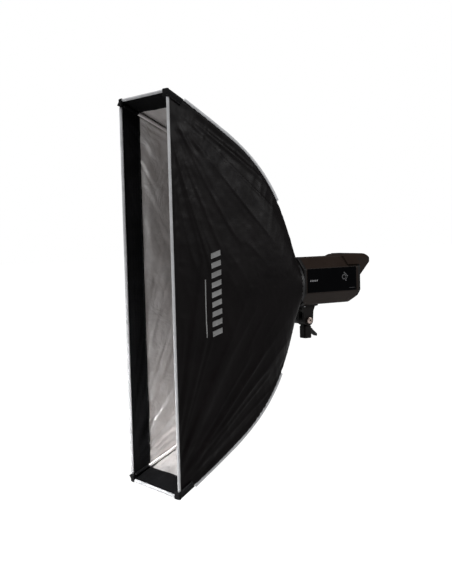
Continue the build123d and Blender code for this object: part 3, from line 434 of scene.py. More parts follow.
# colour, roughness
GLASSES = {
    "flash_glass": ((0.90, 0.93, 0.98), 0.02),
    "dome_glass": ((0.93, 0.92, 0.89), 0.32),
    "lamp_glass": ((0.98, 0.93, 0.83), 0.05),
}
MATERIALS = {"silver_lining": silver_material()}
for make, table in ((cloth_material, CLOTHS), (plastic_material, PLASTICS), (metal_material, METALS),
                    (glass_material, GLASSES)):
    MATERIALS.update((name, make(name, *values)) for name, values in table.items())

slot_of = {entry["node"]: entry["material_slot"] for entry in frame["record"]["subparts"]}
for name, node in frame["nodes"].items():
    node.data.materials.clear()
    node.data.materials.append(MATERIALS["casing_plastic" if name == "carry_handle" else slot_of[name]])


# ---- wrinkles of the black outer fabric: how far it stands off the smooth form, in metres ----
broad, folds, fine = Noise(3), Noise(11), Noise(23)


def seam_puckers(s, from_seam, seed):
    """Small gathers that the stitching draws across a seam."""
    wave = np.sin(2 * np.pi * (s / 0.017 + 1.2 * Noise(seed).at(s * 22, 0.5)))
    return 0.55 * MM * wave * np.exp(-from_seam / 0.013) * (0.6 + 0.8 * Noise(seed + 1).at(s * 30, 3.5))


def side_wrinkles(s, t, seed):
    depth, level, _ = seam_at(s)
    z = t * level
    above = level - np.abs(z)
    total = 2.2 * MM * broad.layers(depth * 9 + seed, z * 6, 2)
    # long tension folds that run from each front corner towards the ring
    for side in (1, -1):
        dx, dz = depth + 0.03, HALF_HEIGHT - side * z
        away = np.hypot(dx, dz)
        angle = np.arctan2(dx, dz)
        pattern = folds.ridges(angle * 7.5 + 5 * side + seed, away * 1.6, 2)
        strength = smooth(0.03, 0.16, away) * (1 - smooth(0.34, 0.66, away))
        total += (FOLDS_UPPER if side > 0 else FOLDS_LOWER) * (pattern - 0.45) * strength
    # short folds that start at the front tape
    pattern = folds.ridges(z * 26 + 0.5 * broad.at(depth * 20, z * 9) + 40 + seed, depth * 4 + z * 3, 2)
    total += FOLDS_FRONT * (pattern - 0.4) * np.exp(-depth / 0.06) * smooth(0.0, 0.014, depth)
    # folds along the curved seams, steeper than the seam itself
    pattern = folds.ridges(s * 17 + above * 6 + 70 + seed, above * 3 + 9, 2)
    total += FOLDS_SEAM * (pattern - 0.4) * np.exp(-above / 0.075) * smooth(0, 0.02, above)
    total += 0.35 * MM * fine.layers(depth * 90, z * 70, 2)
    total = total * smooth(0, 0.022, above) * smooth(0, 0.02, depth) * (1 - 0.6 * smooth(0.5, 0.62, s))
    return total + seam_puckers(s, above, seed + 5) * smooth(0, 0.02, depth)


def end_wrinkles(s, t, seed):
    half = half_width_at(seam_at(s)[0])
    beside = half * (1 - np.abs(t))
    total = 1.4 * MM * broad.layers(s * 8 + seed, t * half * 14, 2)
    total += 1.6 * MM * (folds.ridges(s * 14 + t * 1.1 + seed, t * half * 10, 2) - 0.4)
    total += 0.3 * MM * fine.layers(s * 90, t * half * 90, 2)
    total = total * smooth(0, 0.02, beside) + seam_puckers(s, beside, seed + 9)
    return total * smooth(0, 0.02, s)


# ---- the softbox shell: four panels and the gathered collar, one closed loop of cloth all the way back ----
def loop_of_rows(s_values, inset, side_offset, end_offset):
    """Rows of points round the box: right panel upwards, top leftwards, left downwards, bottom rightwards."""
    s = s_values[:, None]
    side_t = np.linspace(-1, 1, SIDE_STEPS + 1)[None, :]
    end_t = np.linspace(-1, 1, END_STEPS + 1)[None, :]
    side, end = side_surface(s, side_t, inset), end_surface(s, end_t, inset)
    side_normals, end_normals = -grid_normals(side), grid_normals(end)
    side_normals *= np.sign(side_normals[..., :1].mean()) or 1
    end_normals *= np.sign(end_normals[..., 2:].mean()) or 1
    panels = []
    for number, (x_sign, z_sign) in enumerate(((1, 1), (1, 1), (-1, 1), (1, -1))):
        if number in (0, 2):
            points = side + side_normals * side_offset(s, side_t, 10 * number)[..., None]
            points = points * [x_sign, 1, 1]
            panels.append(points if number == 0 else points[:, ::-1])
        else:
            points = end + end_normals * end_offset(s, end_t, 10 * number)[..., None]
            points = (points - [0, 0, AXIS_Z]) * [1, 1, z_sign] + [0, 0, AXIS_Z]
            panels.append(points[:, ::-1] if number == 1 else points)
    return np.concatenate([panel[:, :-1] for panel in panels], axis=1)


def cloth_loop(name, slot, rows, thickness, offset=-1.0):
    """A closed loop of cloth from its rows of points, with a thickness, riding on the softbox."""
    faces = grid_faces(len(rows), rows.shape[1], closed=True)
    piece = mesh_of(name, rows.reshape(-1, 3), faces, MATERIALS[slot])
    modifier = piece.modifiers.new("thickness", "SOLIDIFY")
    modifier.thickness = thickness
    modifier.offset = offset
    modifier.use_even_offset = False
    apply_modifiers(piece)
    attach(piece, "softbox")
    return piece


def make_shell():
    rows = loop_of_rows(np.linspace(0, SEAM_LENGTH, ROWS), 0.0, side_wrinkles, end_wrinkles)
    last = rows[-1]
    angle = np.arctan2(last[:, 2] - AXIS_Z, last[:, 0])
    start_radius, start_depth = np.hypot(last[:, 0], last[:, 2] - AXIS_Z), last[:, 1] - FRONT_Y
    gathers = np.sin(angle * 41 + 2.5 * Noise(51).at(angle * 3 + 20, 0.3)) + 0.5 * np.sin(angle * 77 + 1)
    rings = []
    for step in range(1, COLLAR_STEPS + 1):
        u = step / COLLAR_STEPS
        turn = u * math.pi / 2
        radius = HEM_RADIUS + (start_radius - HEM_RADIUS) * math.cos(turn) ** 0.8
        radius = radius + 1.1 * MM * gathers * math.sin(u * math.pi)
        depth = start_depth + (HEM_DEPTH - start_depth) * math.sin(turn) + 1.2 * MM * gathers * math.sin(turn)
        rings.append((radius, depth))
    for step in range(1, HEM_STEPS + 1):
        turn = step / HEM_STEPS * HEM_TURN
        radius = HEM_RADIUS - HEM_ROLL * math.sin(turn) + 0.3 * MM * gathers
        rings.append((radius, HEM_DEPTH - HEM_ROLL * (1 - math.cos(turn)) + 1.2 * MM * gathers))
    collar = [np.stack([radius * np.cos(angle), FRONT_Y + depth, AXIS_Z + radius * np.sin(angle)], -1)
              for radius, depth in rings]
    points = np.concatenate([rows, np.array(collar)], axis=0)
    return cloth_loop("softbox_shell", "outer_fabric", points, SHELL_CLOTH, 1.0), rows


def crumple(s, t, seed):
    """The silver lining's side: long soft folds that fan out from the front corners, crumpled at its ends."""
    depth, level, _ = seam_at(s)
    z = t * level
    slack = 0.35 + 0.65 * smooth(0.18, 0.46, np.abs(z))
    total = 5.0 * MM * broad.layers(depth * 7 + seed, z * 5 + depth * 6 + 3, 2)
    for side in (1, -1):
        dx, dz = depth + 0.05, HALF_HEIGHT - side * z
        away, angle = np.hypot(dx, dz), np.arctan2(dx, dz)
        fan = folds.ridges(angle * 9 + 3 * side + seed, away * 1.5 + 2, 2) - 0.42
        total += 6.5 * MM * fan * smooth(0.04, 0.2, away) * (1 - smooth(0.4, 0.75, away))
    total += 1.6 * MM * (fine.ridges(depth * 26 + seed + z * 8, z * 20, 3) - 0.4) * slack
    above = level - np.abs(z)
    return (-1.0 * MM - np.abs(total) * smooth(0, 0.03, above)) * smooth(*LINING_FADE, s)


def crumple_end(s, t, seed):
    half = half_width_at(seam_at(s)[0])
    x = t * half
    total = 3.4 * MM * broad.layers(s * 9 + seed, x * 12 + 7, 2)
    total += 3.4 * MM * (folds.ridges(s * 24 + seed, x * 12, 3) - 0.42)
    total += 1.0 * MM * (fine.ridges(s * 55 + seed, x * 50, 3) - 0.4)
    beside = half - np.abs(x)
    droop = 3.6 * MM * np.cos(t * np.pi / 2)
    return (-np.abs(total) * smooth(0, 0.02, beside) - droop) * smooth(*LINING_FADE, s)


def make_lining():
    """Silver cloth inside the shell, from under the black lip back to the speedring."""
    rows = loop_of_rows(np.linspace(LINING_START, SEAM_LENGTH - 6 * MM, ROWS), 3.0 * MM,
                        lambda s, t, seed: side_wrinkles(s, t, seed) + crumple(s, t, seed),
                        lambda s, t, seed: end_wrinkles(s, t, seed) + crumple_end(s, t, seed))
    return cloth_loop("silver_lining_cloth", "silver_lining", rows, LINING_CLOTH), rows


def make_lip():
    """The black band inside the front edge, whose rear hem overlaps the silver."""
    wobble = Noise(61)

    def hanging(wrinkles, waves):
        def offset(s, t, seed):
            sway = 0.9 * MM * (1 + wobble.layers(s * 20 + seed, t * waves, 2)) + 2.6 * MM
            return wrinkles(s, t, seed) - 0.9 * MM - sway * smooth(0.008, 0.04, s)
        return offset

    rows = loop_of_rows(np.linspace(1 * MM, LIP_END, 14), 1.9 * MM,
                        hanging(side_wrinkles, 9), hanging(end_wrinkles, 3))
    return cloth_loop("front_lip_cloth", "lip_fabric", rows, LIP_CLOTH), rows


shell, shell_rows = make_shell()
lining, lining_rows = make_lining()
lip, lip_rows = make_lip()
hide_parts("shell_panel_right", "shell_panel_left", "shell_panel_top", "shell_panel_bottom",
            "rear_collar")
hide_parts("lining_sides", "lining_ends")
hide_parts("front_lip")


# ---- small pieces that lie on the fabric and on the head ----
DEPTH_STEPS = np.linspace(0, SEAM_LENGTH, 400)
DEPTHS = seam_at(DEPTH_STEPS)[0]


def unit(vectors):
    return vectors / np.maximum(np.linalg.norm(vectors, axis=-1, keepdims=True), 1e-12)


def side_at(depth, z, lift, seed=0):
    """Points on the outside of the right panel's wrinkled cloth, and its normals there."""
    depth, z = np.broadcast_arrays(np.asarray(depth, float), np.asarray(z, float))
    s = np.interp(depth, DEPTHS, DEPTH_STEPS)
    level = seam_at(s)[1]
    half_angle = 2 * np.arctan2(np.maximum(bulge_at(depth), 1e-5), level)
    t = np.arcsin(np.clip(z * np.sin(half_angle) / level, -1, 1)) / half_angle
    step = 1e-3
    along = side_surface(s + step, t) - side_surface(s - step, t)
    up = side_surface(s, t + step) - side_surface(s, t - step)
    normal = unit(np.cross(along, up))
    normal *= np.sign(normal[..., :1])
    return side_surface(s, t) + normal * (side_wrinkles(s, t, seed) + lift)[..., None], normal


def piece_of(name, points, faces, finish, body, smooth_shading=True):
    piece = mesh_of(name, points, faces, MATERIALS[finish], smooth_shading)
    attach(piece, body)
    return piece


def resample(path, count):
    steps = np.concatenate([[0], np.cumsum(np.linalg.norm(np.diff(path, axis=0), axis=1))])
    places = np.linspace(0, steps[-1], count)
    return np.stack([np.interp(places, steps, path[:, k]) for k in range(3)], -1), steps[-1]


def swept(path, frames, profile):
    """Points of a closed profile carried along a path, drawn in the two axes of its frames."""
    across, out = frames
    return path[:, None] + profile[None, :, :1] * across[:, None] + profile[None, :, 1:] * out[:, None]


def tube_faces(rows, columns):
    caps = [tuple(range(columns))[::-1], tuple((rows - 1) * columns + c for c in range(columns))]
    return grid_faces(rows, columns, closed=True) + caps


def rounded_rectangle(low, high, radius):
    """The outline between a low and a high corner, each corner turned in four points."""
    corners = ((high[0] - radius, high[1] - radius, 0), (low[0] + radius, high[1] - radius, 90),
               (low[0] + radius, low[1] + radius, 180), (high[0] - radius, low[1] + radius, 270))
    return np.array([(x + radius * math.cos(turn), y + radius * math.sin(turn))
                     for x, y, start in corners for turn in np.radians(np.linspace(start, start + 90, 4))])


class Gathered:
    """Collects many small solids into one mesh."""

    def __init__(self):
        self.points, self.faces = [], []

    def add(self, points, faces):
        start = sum(len(p) for p in self.points)
        self.points.append(np.asarray(points, float).reshape(-1, 3))
        self.faces += [tuple(start + i for i in face) for face in faces]

    def piece(self, name, slot, body, smooth_shading=True):
        return piece_of(name, np.concatenate(self.points), self.faces, slot, body, smooth_shading)


def add_stitches(gathered, path, normals, pitch=3.4 * MM, radius=0.42 * MM):
    """A row of thread stitches along a path, each a short bead that dips into the cloth at its ends."""
    length = np.linalg.norm(np.diff(path, axis=0), axis=1).sum()
    count = max(2, int(length / pitch))
    centres, _ = resample(path, count)
    outs = unit(resample(normals, count)[0]) if len(normals) == len(path) else np.tile(normals, (count, 1))
    heading = unit(np.gradient(centres, axis=0))
    sides = unit(np.cross(heading, outs))
    half = pitch * 0.34
    for centre, out, ahead, side in zip(centres, outs, heading, sides):
        rings = []
        for along, size in ((-1.0, 0.35), (-0.55, 0.9), (0.55, 0.9), (1.0, 0.35)):
            for corner in range(5):
                turn = corner * 2 * math.pi / 5
                rings.append(centre + ahead * half * along + radius * size * (math.cos(turn) * side
                                                                             + 0.8 * math.sin(turn) * out))
        gathered.add(rings, tube_faces(4, 5))


def folded_profile(outside, inside, width, sheet):
    """Tape folded over an edge: drawn with x running in from the edge and y outwards."""
    outer, inner = outside + sheet, -inside - sheet
    nose = [(-1.4 * MM - 0.55 * sheet, outer * 0.35), (-1.4 * MM - 0.7 * sheet, (outer + inner) / 2),
            (-1.4 * MM - 0.55 * sheet, inner * 0.55)]
    crease = [(-0.9 * MM, -inside * 0.75), (-1.0 * MM, -inside / 2), (-0.9 * MM, outside * 0.5)]
    return np.array([
        (width, outside), (width, outer), (width * 0.5, outer + 0.15 * MM), (0.2 * MM, outer), *nose,
        (0.2 * MM, inner), (width * 0.5, inner - 0.1 * MM), (width, inner), (width, -inside),
        *crease, (0.2 * MM, outside)])


def make_front_tape():
    """Grey tape folded over the front edge, sewn through with a row of stitches, on all four sides."""
    tape, thread = Gathered(), Gathered()
    wobble = Noise(71)
    fall = np.array([0, math.cos(SEAM_START), -math.sin(SEAM_START)])
    rise = np.array([0, math.sin(SEAM_START), math.cos(SEAM_START)])
    profile = folded_profile(TAPE_OUTSIDE, TAPE_INSIDE, FRONT_TAPE_WIDTH, TAPE_SHEET)
    for number, (half, place, inward, out) in enumerate((
            (HALF_HEIGHT - TAPE_STOP, np.array([HALF_WIDTH, FRONT_Y, AXIS_Z]), SIDE_BACK, SIDE_OUT),
            (HALF_WIDTH - TAPE_STOP, np.array([0, FRONT_Y, AXIS_Z + HALF_HEIGHT]), fall, rise))):
        run = np.array([0, 0, 1.0]) if number == 0 else np.array([1.0, 0, 0])
        steps = np.arange(-half, half + 1e-6, 5 * MM if number == 0 else 4 * MM)
        sway = 0.35 * MM * wobble.layers(steps * 22 + 9 * number, 0.4, 2)
        puff = 0.22 * MM * wobble.layers(steps * 60 + 9 * number, 7.4, 2)
        path = place + steps[:, None] * run + sway[:, None] * inward + puff[:, None] * out
        ones = np.ones((len(path), 1))
        solid = swept(path, (ones * inward, ones * out), profile)
        row = path + inward * (FRONT_TAPE_WIDTH - 1.3 * MM)
        outer_row = row + out * (TAPE_OUTSIDE + TAPE_SHEET + 0.1 * MM)
        inner_row = row - out * (TAPE_INSIDE + TAPE_SHEET + 0.1 * MM)
        for flip in (1, -1):
            corner = np.array([flip, 1, 1] if number == 0 else [1, 1, flip])
            tape.add(to_corner(solid, corner), tube_faces(*solid.shape[:2]))
            for row, facing in ((outer_row, out), (inner_row, -out)):
                add_stitches(thread, to_corner(row, corner), facing * corner)
    return (tape.piece("front_tape", "binding_tape", "softbox"),
            thread.piece("front_tape_stitches", "grey_thread", "softbox"))


def seam_frames(s):
    """The upper right seam: its points, and the way out from it in the side's plane."""
    depth, level, heading = seam_at(s)
    points = np.stack([half_width_at(depth), FRONT_Y + depth, AXIS_Z + level], -1)
    return points, np.sin(heading)[:, None] * SIDE_BACK + np.cos(heading)[:, None] * np.array([0, 0, 1.0])


def to_corner(points, corner):
    """Mirrors points made for the upper right seam to another seam."""
    return (points - [0, 0, AXIS_Z]) * corner + [0, 0, AXIS_Z]


def make_seam_tape():
    """Pale tape that binds each corner seam and stands out from it, with the stitching below its edge."""
    tape, thread = Gathered(), Gathered()
    wobble = Noise(81)
    start, end = np.interp([SEAM_TAPE_START, SEAM_TAPE_END], DEPTHS, DEPTH_STEPS)
    s = np.arange(start, end, 4 * MM)
    points, out = seam_frames(s)
    sway = 0.7 * MM * wobble.layers(s * 26, 0.6, 2)
    ripple = 0.5 * MM * wobble.layers(s * 60, 4.6, 2)
    side = np.tile(SIDE_OUT, (len(s), 1))
    path = points + (ripple - 1.2 * MM)[:, None] * side
    low, high, half = -0.6 * MM, SEAM_TAPE_WIDTH + 0.2 * MM, 0.8 * MM
    outline = np.array([(low, half), (high * 0.5, half * 1.1), (high - 0.5 * MM, half), (high, 0),
                        (high - 0.5 * MM, -half), (high * 0.5, -half * 1.1), (low, -half)])
    lean_over = (0.12 * wobble.at(s * 18, 9.4))[:, None]
    solid = swept(path, (unit(out + lean_over * side), side), outline)
    solid = solid + (sway * 0.4)[:, None, None] * out[:, None]
    row = path + out * 1.9 * MM + side * (half + 0.15 * MM)
    back_row = path + out * 1.9 * MM - side * (half + 0.15 * MM)
    for corner in CORNERS:
        tape.add(to_corner(solid, corner), tube_faces(*solid.shape[:2]))
        add_stitches(thread, to_corner(row, corner), side * corner, 3.8 * MM)
        add_stitches(thread, to_corner(back_row, corner), -side * corner, 3.8 * MM)
    return (tape.piece("seam_tape", "binding_tape", "softbox"),
            thread.piece("seam_tape_stitches", "grey_thread", "softbox"))


def make_rod_sleeves():
    """Sleeves sewn into the corner seams to hold the rods: black behind the mouth, then silver."""
    silver, black, thread = Gathered(), Gathered(), Gathered()
    wobble = Noise(91)
    tail = SLEEVE_TAIL
    turns = np.radians(np.linspace(85, 365, 13))
    profile = np.stack([SLEEVE_RADIUS * np.cos(turns), SLEEVE_RADIUS * np.sin(turns)], -1)
    profile = np.concatenate([profile, [(tail * 0.8, tail * 0.52), (tail, tail), (tail * 0.52, tail * 0.8)]])
    for start, end in SLEEVES:
        s = np.arange(start, end, 3.5 * MM)
        points, out = seam_frames(s)
        side = np.tile(SIDE_OUT, (len(s), 1))
        path = points - SLEEVE_INSET * (out + side)
        solid = swept(path, (side, out), profile)
        centre = path[:, None]
        pattern = wobble.ridges(s[:, None] * 55, np.arange(len(profile))[None] * 0.45, 2) - 0.4
        solid = centre + (solid - centre) * (1.02 + 0.10 * pattern)[..., None]
        rows = [path + tail * (side * a + out * b) for a, b in ((0.78, 0.38), (0.38, 0.78))]
        for corner in CORNERS:
            target = black if start < 0.05 else silver
            target.add(to_corner(solid, corner), tube_faces(*solid.shape[:2]))
            for row, facing in zip(rows, (-out, -side)) if target is silver else ():
                add_stitches(thread, to_corner(row, corner), facing * corner, 4.0 * MM, 0.6 * MM)
    black.piece("rod_sleeve_fronts", "lip_fabric", "softbox")
    thread.piece("rod_sleeve_stitches", "black_thread", "softbox")
    return silver.piece("rod_sleeves", "silver_lining", "softbox")


def make_pockets():
    """Webbing folded over each front corner: an angle along the seam, closed to a cap in front."""
    pocket, thread = Gathered(), Gathered()
    outer, inner = POCKET_LIFT + POCKET_SHEET, POCKET_LIFT
    turns = np.radians([0, 30, 60, 90])
    round_edge = [(outer * (0.35 + 0.65 * math.sin(t)), outer * (0.35 + 0.65 * math.cos(t))) for t in turns]
    outside = [(-POCKET_SIDE, outer), *round_edge, (outer, -POCKET_SIDE)]
    inside = [(inner, -POCKET_SIDE), (inner, inner * 0.6), (inner * 0.6, inner), (-POCKET_SIDE, inner)]
    profile = np.array(outside + inside)
    wobble = Noise(95)
    s = np.linspace(0, POCKET_REACH, 16)
    points, out = seam_frames(s)
    side = np.tile(SIDE_OUT, (len(s), 1))
    solid = swept(points, (side, out), profile)
    solid = solid + (0.35 * MM * wobble.layers(s * 90, 0.5, 2))[:, None, None] * (out + side)[:, None] / 2
    low, high = -POCKET_SIDE - 1.5 * MM, outer + 0.3 * MM
    ring, middle = rounded_rectangle((low, low), (high, high), 2.4 * MM), (low + high) / 2
    cap = []
    for depth, shrink in ((3.0 * MM, 1.0), (-1.2 * MM, 1.0), (-2.4 * MM, 0.94), (-2.9 * MM, 0.8)):
        at = middle + (ring - middle) * shrink
        cap.append(points[0] + at[:, :1] * SIDE_OUT + at[:, 1:] * [0, 0, 1.0] + [0, depth, 0])
    cap = np.array(cap)
    near, far, edge, fold = 3 * MM, POCKET_REACH - 2 * MM, -POCKET_SIDE + 1.5 * MM, -1.5 * MM
    stitched = (far, far, edge, 0.0), (near, far, edge, edge), (near, far, fold, fold)
    for corner in CORNERS:
        pocket.add(to_corner(solid, corner), tube_faces(*solid.shape[:2]))
        pocket.add(to_corner(cap, corner), tube_faces(*cap.shape[:2]))
        for s_low, s_high, low, high in stitched:
            at, up = seam_frames(np.linspace(s_low, s_high, 14))
            row = at + up * np.linspace(low, high, 14)[:, None] + SIDE_OUT * (outer + 0.1 * MM)
            add_stitches(thread, to_corner(row, corner), SIDE_OUT * corner, 3.0 * MM)
    thread.piece("pocket_stitches", "black_thread", "softbox")
    return pocket.piece("front_pockets", "webbing", "softbox")


def make_lip_stitches():
    """The row that sews the black lip to the silver cloth, inside the mouth."""
    thread = Gathered()
    loop = lip_rows[-2]
    loop = np.concatenate([loop, loop[:1]])
    on_side = np.abs(loop[:, :1]) > HALF_WIDTH - 20 * MM
    towards_axis = np.sign(([0, 0, AXIS_Z] - loop) * [1, 0, 1])
    inwards = unit(np.where(on_side, [1, 0, 0.001], [0.001, 0, 1]) * towards_axis)
    add_stitches(thread, loop + inwards * 1.2 * MM, inwards, 4.2 * MM)
    return thread.piece("lip_stitches", "black_thread", "softbox")


def make_side_print():
    """A plain printed band on the right side: a column of slanted bars beside a thin line."""
    prints = Gathered()
    mesh = shell.data
    cloth = BVHTree.FromPolygons([v.co for v in mesh.vertices], [face.vertices for face in mesh.polygons])

    def on_cloth(depth, z, lift):
        points, normals = side_at(depth, z, 20 * MM)
        rays = zip(points.reshape(-1, 3), normals.reshape(-1, 3))
        hits = [cloth.ray_cast(Vector(point), Vector(-normal))[0] for point, normal in rays]
        return np.array(hits).reshape(points.shape) + normals * lift

    def patch(depth_low, depth_high, z_low, z_high, slant=0.0):
        rows, columns = (max(3, int(size / (2 * MM))) for size in (z_high - z_low, depth_high - depth_low))
        v, u = np.meshgrid(np.linspace(0, 1, rows), np.linspace(0, 1, columns), indexing="ij")
        depth = depth_low + (depth_high - depth_low) * u
        z = z_low + (z_high - z_low) * v + slant * u
        outside, inside = on_cloth(depth, z, 0.35 * MM), on_cloth(depth, z, -0.1 * MM)
        count = rows * columns
        rim = [*range(columns), *[r * columns + columns - 1 for r in range(1, rows)],
               *[(rows - 1) * columns + c for c in range(columns - 2, -1, -1)],
               *[r * columns for r in range(rows - 2, 0, -1)]]
        sides = [(a, b, b + count, a + count) for a, b in zip(rim, rim[1:] + rim[:1])]
        top = grid_faces(rows, columns)
        bottom = [tuple(i + count for i in face[::-1]) for face in top]
        prints.add(np.concatenate([outside.reshape(-1, 3), inside.reshape(-1, 3)]), top + bottom + sides)

    for bar in range(PRINT_BARS):
        z = PRINT_LOW + bar * PRINT_PITCH
        patch(PRINT_DEPTH, PRINT_DEPTH + PRINT_WIDTH, z, z + PRINT_PITCH * 0.55, PRINT_PITCH * 0.35)
    line = PRINT_DEPTH - 0.7 * PRINT_WIDTH
    patch(line, line + 3 * MM, PRINT_LOW, PRINT_LOW + PRINT_PITCH * PRINT_BARS * 0.66)
    return prints.piece("side_print", "mark_paint", "softbox")


def add_plate(gathered, outline, normal, thickness):
    """A thin plate from a flat outline, with its rim slightly drawn in at the top."""
    outline, normal = np.asarray(outline, float), np.asarray(normal, float)
    centre = outline.mean(axis=0)
    top = centre + (outline - centre) * 0.985 + normal * thickness
    count = len(outline)
    faces = [tuple(range(count))[::-1], tuple(range(count, 2 * count))]
    faces += [(k, (k + 1) % count, count + (k + 1) % count, count + k) for k in range(count)]
    gathered.add(np.concatenate([outline, top]), faces)


def arc_band(radius_in, radius_out, start, end, steps=16):
    turns = np.radians(np.linspace(start, end, steps))
    outer = [(radius_out * math.cos(t), radius_out * math.sin(t)) for t in turns]
    inner = [(radius_in * math.cos(t), radius_in * math.sin(t)) for t in turns[::-1]]
    return outer + inner


def add_mark(gathered, outline, axis, level, thickness=MARK):
    """A flat mark on a face that looks along an axis, from its outline in the other two axes."""
    points = np.insert(np.asarray(outline, float), axis, level, axis=1)
    add_plate(gathered, points, np.eye(3)[axis] * math.copysign(1, level), thickness)


def turned(centre, degrees, corners):
    """Corners given outwards and aside, turned about a centre."""
    cos, sin = math.cos(math.radians(degrees)), math.sin(math.radians(degrees))
    return [(centre[0] + cos * r - sin * w, centre[1] + sin * r + cos * w) for r, w in corners]


def make_panel_marks():
    """Plain marks on both glossy side panels: a ring of scale ticks, slanted bars and a hairline."""
    marks, faint = Gathered(), Gathered()
    rear, front, line = GLOSS_HIGH.y, GLOSS_LOW.y, GLOSS_LOW.z + 7 * MM
    middle = (GLOSS_LOW.z + GLOSS_HIGH.z) / 2
    hub = (rear - 44 * MM, middle + 6 * MM)
    shapes = [(faint, [(hub[0] + a, hub[1] + b) for a, b in arc_band(5.0 * MM, 7.2 * MM, 0, 340, 28)])]
    for tick in range(7):
        start, end, half = 9.2 * MM, (11.5 if tick % 3 else 13.5) * MM, 0.55 * MM
        shapes.append((marks, turned(hub, -60 + tick * 24,
                                     ((start, -half), (end, -half), (end, half), (start, half)))))
    for bar in range(5):
        y, half = front + (8 + bar * 5.4) * MM, 2.2 * MM
        shapes.append((marks, [(y, middle - half), (y + 2.6 * MM, middle - half),
                               (y + 4.2 * MM, middle + half), (y + 1.6 * MM, middle + half)]))
    shapes.append((faint, [(rear - 26 * MM, line), (rear - 6 * MM, line), (rear - 6 * MM, line + 0.7 * MM),
                           (rear - 26 * MM, line + 0.7 * MM)]))
    for flip in (1, -1):
        for target, outline in shapes:
            add_mark(target, outline, 0, GLOSS_HIGH.x * flip)
    marks.piece("panel_marks", "panel_mark", "flash_head", False)
    faint.piece("panel_faint_marks", "faint_mark", "flash_head", False)


def make_rear_marks():
    """Scale ticks round the dial, and a lit bar display."""
    marks, lit = Gathered(), Gathered()
    centre = 0, (DIAL_LOW.z + DIAL_HIGH.z) / 2
    start, end, half = 11.4 * MM, 13.4 * MM, 0.3 * MM
    for tick in range(11):
        corners = (start, -half), (start, half), (end, half), (end, -half)
        add_mark(marks, turned(centre, -60 + tick * 30, corners), 1, REAR_Y)
    for step in range(10):
        x, low = WINDOW_HIGH.x - (8 + step * 3.9) * MM, WINDOW_LOW.z + 5 * MM
        high = WINDOW_LOW.z + (7.5 + step * 0.95) * MM
        outline = (x - 2.6 * MM, low), (x - 2.6 * MM, high), (x, high), (x, low)
        add_mark(lit, outline, 1, WINDOW_HIGH.y, 0.1 * MM)
    marks.piece("dial_scale", "panel_mark", "flash_head", False)
    lit.piece("display_bars", "display_segment", "flash_head", False)


def make_key_signs():
    """A square, a bar, a triangle and a ring, one on each key."""
    shapes = {
        "1": [(-1.1, -1.1), (-1.1, 1.1), (1.1, 1.1), (1.1, -1.1)],
        "2": [(-1.7, -0.4), (-1.7, 0.4), (1.7, 0.4), (1.7, -0.4)],
        "3": [(-1.3, -1.0), (0, 1.3), (1.3, -1.0)],
        "4": [(x, -z) for x, z in arc_band(0.9, 1.5, 0, 345, 20)],
    }
    for number, shape in shapes.items():
        low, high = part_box("button_" + number)
        centre_x, centre_z = (low.x + high.x) / 2, (low.z + high.z) / 2
        sign = Gathered()
        add_mark(sign, [(centre_x + x * MM, centre_z + z * MM) for x, z in shape], 1, high.y, 0.1 * MM)
        sign.piece("key_sign_" + number, "panel_mark", "key_" + number, False)


def make_grip_pad():
    """A ribbed rubber pad on top of the handle."""
    pad = Gathered()
    ribs, half, rounding, thickness = 6, 30 * MM, 1.6 * MM, 1.6 * MM
    front, rear, top = HANDLE_LOW.y + 12 * MM, HANDLE_LOW.y + 42 * MM, HANDLE_HIGH.z
    for rib in range(ribs):
        y0 = front + rib * (rear - front) / ribs
        y1 = y0 + (rear - front) / ribs * 0.78
        add_mark(pad, rounded_rectangle((-half, y0), (half, y1), rounding), 2, top, thickness)
    pad.piece("grip_pad", "rubber", "flash_head", False)


def make_bolt_face():
    """A turned step, and a flat dark hexagon that paints the shade of a hexagon socket's hollow, on the end
    of the pivot bolt.
    """
    ring, socket = Gathered(), Gathered()
    band = [(y, PIVOT_Z + z) for y, z in arc_band(4.6 * MM, 6.4 * MM, 0, 350, 40)]
    add_mark(ring, band, 0, BOLT_HIGH.x, 0.35 * MM)
    # painted shade: a flat near-black hexagon stands in for the shadowed hollow of the socket
    hexagon = [turned((0, PIVOT_Z), 60 * k, [(3.2 * MM, 0)])[0] for k in range(6)]
    add_mark(socket, hexagon, 0, BOLT_HIGH.x)
    ring.piece("bolt_step", "bolt_brass", "flash_head")
    socket.piece("bolt_socket_painted_shade", "rubber", "flash_head", False)


front_tape, front_thread = make_front_tape()
seam_tape, seam_thread = make_seam_tape()
sleeves = make_rod_sleeves()
pockets = make_pockets()
lip_thread = make_lip_stitches()
side_print = make_side_print()
make_panel_marks()
make_rear_marks()
make_key_signs()
make_grip_pad()
make_bolt_face()
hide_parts("front_binding")
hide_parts("seam_binding")
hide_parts("corner_pockets")


# ---- camera, light and floor ----
def make_camera():
    """A long lens, to the object's front right and a little above it."""
    level = Vector((-math.sin(AZIMUTH), math.cos(AZIMUTH), 0))
    forward = math.cos(PITCH) * level - Vector((0, 0, math.sin(PITCH)))
    right = Vector((math.cos(AZIMUTH), math.sin(AZIMUTH), 0))
    up = right.cross(forward)
    rolled_right = math.cos(ROLL) * right + math.sin(ROLL) * up
    rolled_up = -math.sin(ROLL) * right + math.cos(ROLL) * up
    data = bpy.data.cameras.new("camera")
    data.lens = LENS
    data.sensor_width = 36.0
    data.clip_end = 50
    camera = bpy.data.objects.new("camera", data)
    place = Matrix((rolled_right, rolled_up, -forward)).transposed().to_4x4()
    offset = CAMERA_BACK * forward + CAMERA_ASIDE * rolled_right + CAMERA_ABOVE * rolled_up
    place.translation = Vector((0, FRONT_Y, AXIS_Z)) - offset
    camera.matrix_world = place
    bpy.context.scene.collection.objects.link(camera)
    bpy.context.scene.camera = camera


